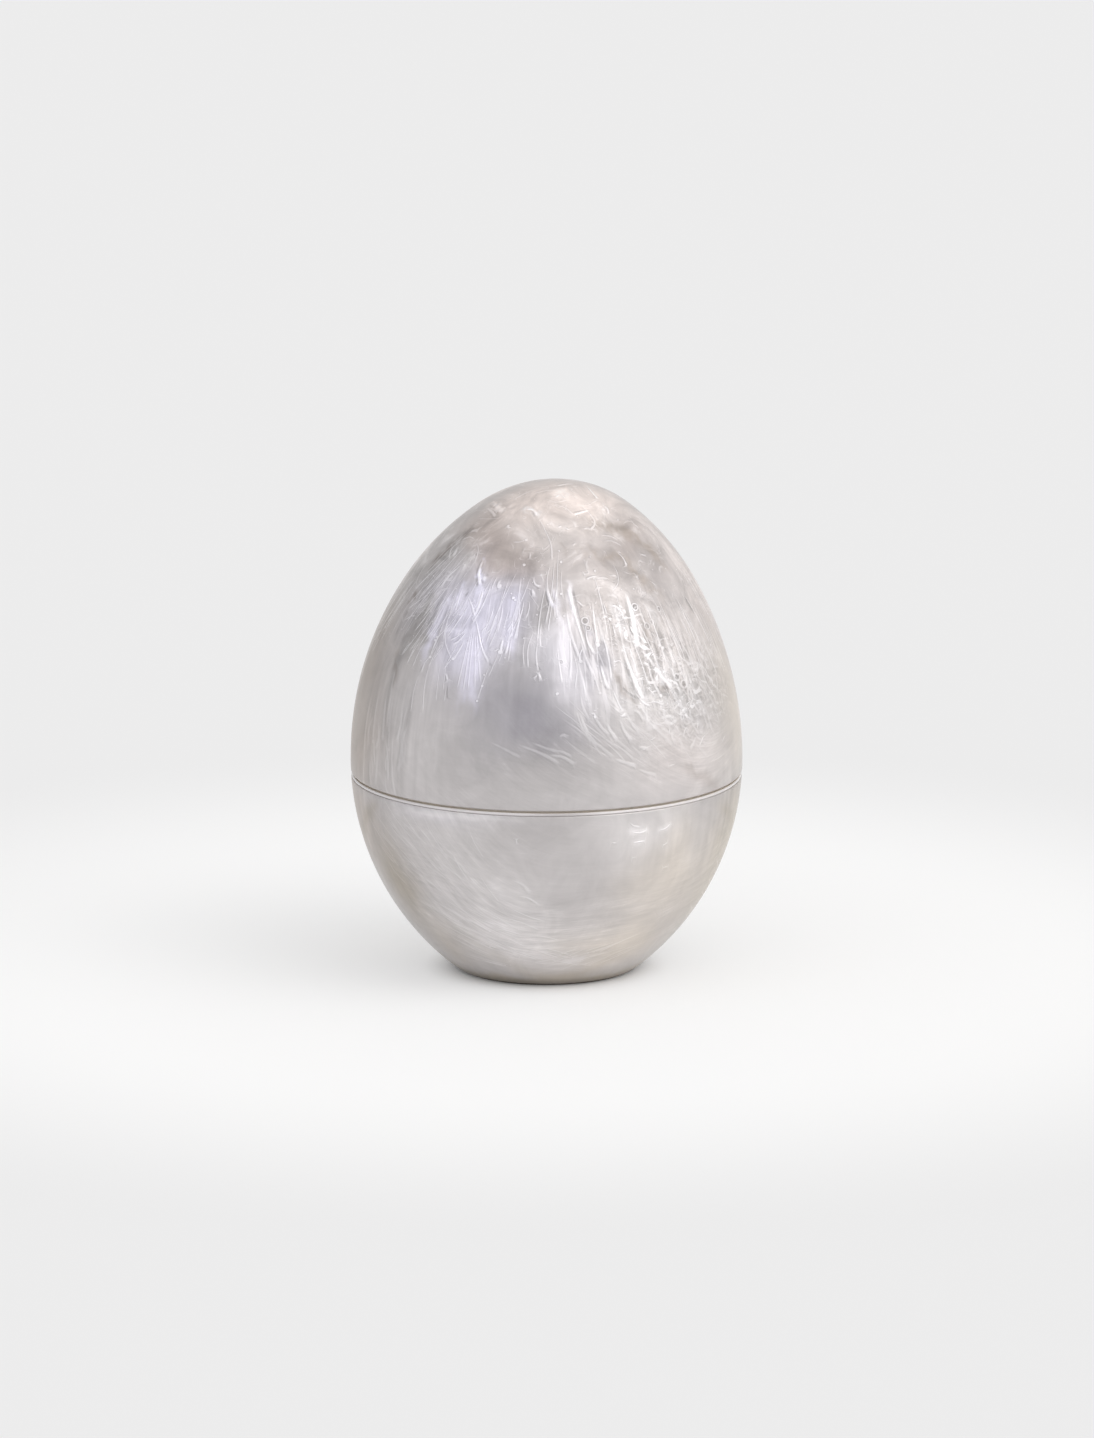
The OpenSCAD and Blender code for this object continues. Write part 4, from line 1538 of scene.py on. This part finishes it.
def pearl(name, wisp_centre, depth):
    """Pearl pigment stirred through clear resin, under a polished skin. The wisps run round their centre.
    Depth 0 leaves out how far they are from it along Y."""
    made, p = material(name)
    place = p.place()
    *_, z, spot = place
    weave, marks = p.stored("weave"), p.stored("marks")
    silk_share, _, cloud_share = weave
    line_share, run_share, leaf_share = marks
    silk, shade, light = woven(p, place, weave, marks, wisp_centre, depth)
    lines, runs = drawn_marks(p, place, marks)
    light, dim = carried_marks(p, spot, light.most(lines).most(runs))
    light = light.most(glints(p, spot, line_share + run_share + cloud_share * GLINT_CLOUD))
    # Painted highlight and shade on the crumpled leaf
    leaf = crumpled(p, spot)
    light = light.most(leaf.ramp(*LEAF_HIGHLIGHT) * leaf_share)
    dim = dim.most(leaf.ramp(*LEAF_SHADE) * leaf_share * LEAF_SHADE_DEPTH)

    tinted = p.stored_colour("tint")
    # Painted shade, darker towards the foot, and a brown painted contact shadow along its lowest mm
    toned = tinted.scaled((shade - dim * DIM_SHARE) * z.ramp(*FOOT_SHADE_HEIGHTS, FOOT_SHADE_DEPTH, 1.0))
    toned = p.mixed(z.ramp(*CONTACT_SHADOW_HEIGHTS) * CONTACT_SHADOW_SHARE, toned, CONTACT_SHADOW_TINT)
    bright = p.mixed(0.5, BRIGHT, tinted.scaled(TINT_LIFT))
    colour = p.mixed(light.least(1.0) * BRIGHT_SHARE, toned, bright)
    normal = p.bump(light * LIGHT_RELIEF - dim * DIM_RELIEF + silk * silk_share * SILK_RELIEF, RELIEF)
    p.surface(colour, silk.ramp(*SMOOTH_TO_ROUGH), normal, Metallic=0.35, Specular_IOR_Level=0.3,
              Specular_Tint=(0.65, 0.62, 0.58, 1), Coat_Weight=0.4, Coat_Roughness=0.03, Coat_IOR=1.45)
    return made


def spot_distance(p, spot, centre):
    """How far each place is from one place."""
    node = p.node("ShaderNodeVectorMath", operation="DISTANCE")
    feed(p.tree, node.inputs[0], spot)
    node.inputs[1].default_value = centre
    return p.field(node, "Value")


# The ring's colours from the left to the right, where the paler left and right are a painted reflection, and
# the painted shade in the gap, and where they change, in mm along X and from the edge of the flange
RING_LEFT_REFLECTION = tint_colour(208, WHITE)
RING_MIDDLE = tint_colour(186, NEUTRAL)
RING_RIGHT_REFLECTION = tint_colour(216, NEUTRAL)
RING_GAP_SHADE = tint_colour(200, EARTH)
LEFT_TO_MIDDLE = (-10, 4)
MIDDLE_TO_RIGHT = (5, 20)
GAP_SHADE_FROM = (0.1, 0.4)
GAP_SHADE_TO = (1.8, 1.4)

DARK_FELT = tint_colour(60, WARM)
LIGHT_FELT = tint_colour(92, WARM)


def clear_ring_resin():
    """Polished clear resin. Its colour is a painted reflection, paler at the left and the right, with
    painted shade in the gap under the lid.
    """
    made, p = material("clear_ring_resin")
    x, y, _, spot = p.place()
    cloud = p.noise(spot, 0.04, 2.0)
    # Painted reflection: paler at the left and the right
    left = p.mixed(x.ramp(*LEFT_TO_MIDDLE), RING_LEFT_REFLECTION, RING_MIDDLE)
    pale = p.mixed((x.ramp(*MIDDLE_TO_RIGHT) + cloud - 0.5).least(1.0).most(0.0), left, RING_RIGHT_REFLECTION)
    # Painted shade in the gap under the lid, on the flange's seat
    set_in = FLANGE_R / MM - (x * x + y * y).root()
    colour = p.mixed(set_in.ramp(*GAP_SHADE_FROM) * set_in.ramp(*GAP_SHADE_TO), pale, RING_GAP_SHADE)
    p.surface(colour, cloud.ramp(0.3, 0.7, 0.22, 0.3), Coat_Weight=0.5, Coat_Roughness=0.04)
    return made


def felt():
    """Pressed dark brown felt."""
    made, p = material("brown_felt")
    *_, spot = p.place()
    fibre = p.noise(spot, 2.5, 4.0, 0.7, 1.5)
    colour = p.mixed(fibre.ramp(0.3, 0.7), DARK_FELT, LIGHT_FELT)
    p.surface(colour, fibre.ramp(0.2, 0.8, 0.85, 1.0), p.bump(fibre, 0.2 * MM))
    return made


# Pieces

def make_lid():
    piece = turned("lid_pearl", lid_profile())
    lean_over(piece)
    outward(piece)
    paint(piece, LID_TINTS)
    carry_marks(piece)
    piece.data.materials.append(pearl("lid_pearl_resin", LID_WISPS, 1.0))
    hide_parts("lid_shell")
    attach(piece, "lid")


def make_bowl():
    piece = turned("bowl_pearl", bowl_profile())
    outward(piece)
    paint(piece, BOWL_TINTS)
    carry_marks(piece)
    piece.data.materials.append(pearl("bowl_pearl_resin", BOWL_WISPS, 0.0))
    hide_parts("base_bowl")
    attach(piece, "base")


def dress(node, made):
    """Gives a CAD node its material."""
    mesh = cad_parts[node].data
    mesh.materials.clear()
    mesh.materials.append(made)


def make_camera():
    eye, right, up, forward = camera_frame()
    data = bpy.data.cameras.new("camera")
    data.sensor_fit = "AUTO"
    data.sensor_width = SENSOR
    data.lens = FOCAL_PX * SENSOR / IMAGE_H
    data.clip_end = FAR_CLIP
    camera = bpy.data.objects.new("camera", data)
    camera.location = Vector(eye)
    camera.rotation_euler = Matrix((right, up, -forward)).transposed().to_euler()
    bpy.context.scene.collection.objects.link(camera)
    bpy.context.scene.camera = camera


# Floor and light. The floor is pale near the egg and a little darker far off, from and to so many mm. A
# share of its colour is seen as it is, except in the egg's shadow, which fades out between two distances
# in mm.

FLOOR_HALF = 6.0
NEAR_FLOOR = (0.95, 0.95, 0.95, 1)
FAR_FLOOR = (0.83, 0.83, 0.835, 1)
FLOOR_FADE = (150, 320)
NEAR_PLAIN = tint_colour(249, (0, 0))
FAR_PLAIN = tint_colour(236, (0, 0))
PLAIN_FLOOR = 0.45
FOOT_SHADOW = (24, 40)

# The light is a soft glow all round with three broad bright sides: a warm one at the upper right, a weak
# one above and a weak cool one at the left. Each side has its direction, its strength, its colour and how
# narrow it is.
GLOW = 0.63
SIDES = [
    (Vector((0.68, -0.42, 0.62)).normalized(), 2.5, (1.0, 0.985, 0.965), 10.0),
    (Vector((0.1, -0.15, 1.0)).normalized(), 0.35, (1.0, 0.99, 0.975), 5.0),
    (Vector((-0.62, -0.68, 0.4)).normalized(), 0.5, (0.93, 0.94, 1.0), 8.0),
]


def make_floor():
    mesh = bpy.data.meshes.new("floor")
    h = FLOOR_HALF
    mesh.from_pydata([(-h, -h, 0), (h, -h, 0), (h, h, 0), (-h, h, 0)], [], [(0, 1, 2, 3)])
    floor = bpy.data.objects.new("floor", mesh)
    bpy.context.scene.collection.objects.link(floor)
    made, p = material("pale_floor")
    x, y, *_ = p.place()
    away = (x * x + y * y).root()
    far = away.ramp(*FLOOR_FADE)
    rays = p.node("ShaderNodeLightPath")
    seen = sum(p.field(rays, name) for name in ("Is Camera Ray", "Is Glossy Ray", "Is Transmission Ray"))
    plain = p.mixed(far, NEAR_PLAIN, FAR_PLAIN)
    share = seen.least(1.0) * away.ramp(*FOOT_SHADOW) * PLAIN_FLOOR
    p.surface(p.mixed(far, NEAR_FLOOR, FAR_FLOOR), 0.9, plain=(plain, share))
    mesh.materials.append(made)


def make_light():
    world = bpy.data.worlds.new("studio")
    world.use_nodes = True
    p = Paint(world.node_tree)
    heading = p.field(p.node("ShaderNodeTexCoord"), "Generated")
    red = green = blue = GLOW
    for direction, strength, colour, focus in SIDES:
        side = heading.along(direction).most(0.0) ** focus * strength
        red, green, blue = side * colour[0] + red, side * colour[1] + green, side * colour[2] + blue
    sky = p.node("ShaderNodeBackground", {"Color": p.vector(red, green, blue), "Strength": 1.0})
    p.tree.links.new(sky.outputs[0], p.node("ShaderNodeOutputWorld").inputs["Surface"])
    bpy.context.scene.world = world


make_camera()
make_lid()
make_bowl()
dress("rim_ring", clear_ring_resin())
dress("foot_pad", felt())
make_floor()
make_light()

bpy.context.scene.view_settings.view_transform = "Standard"
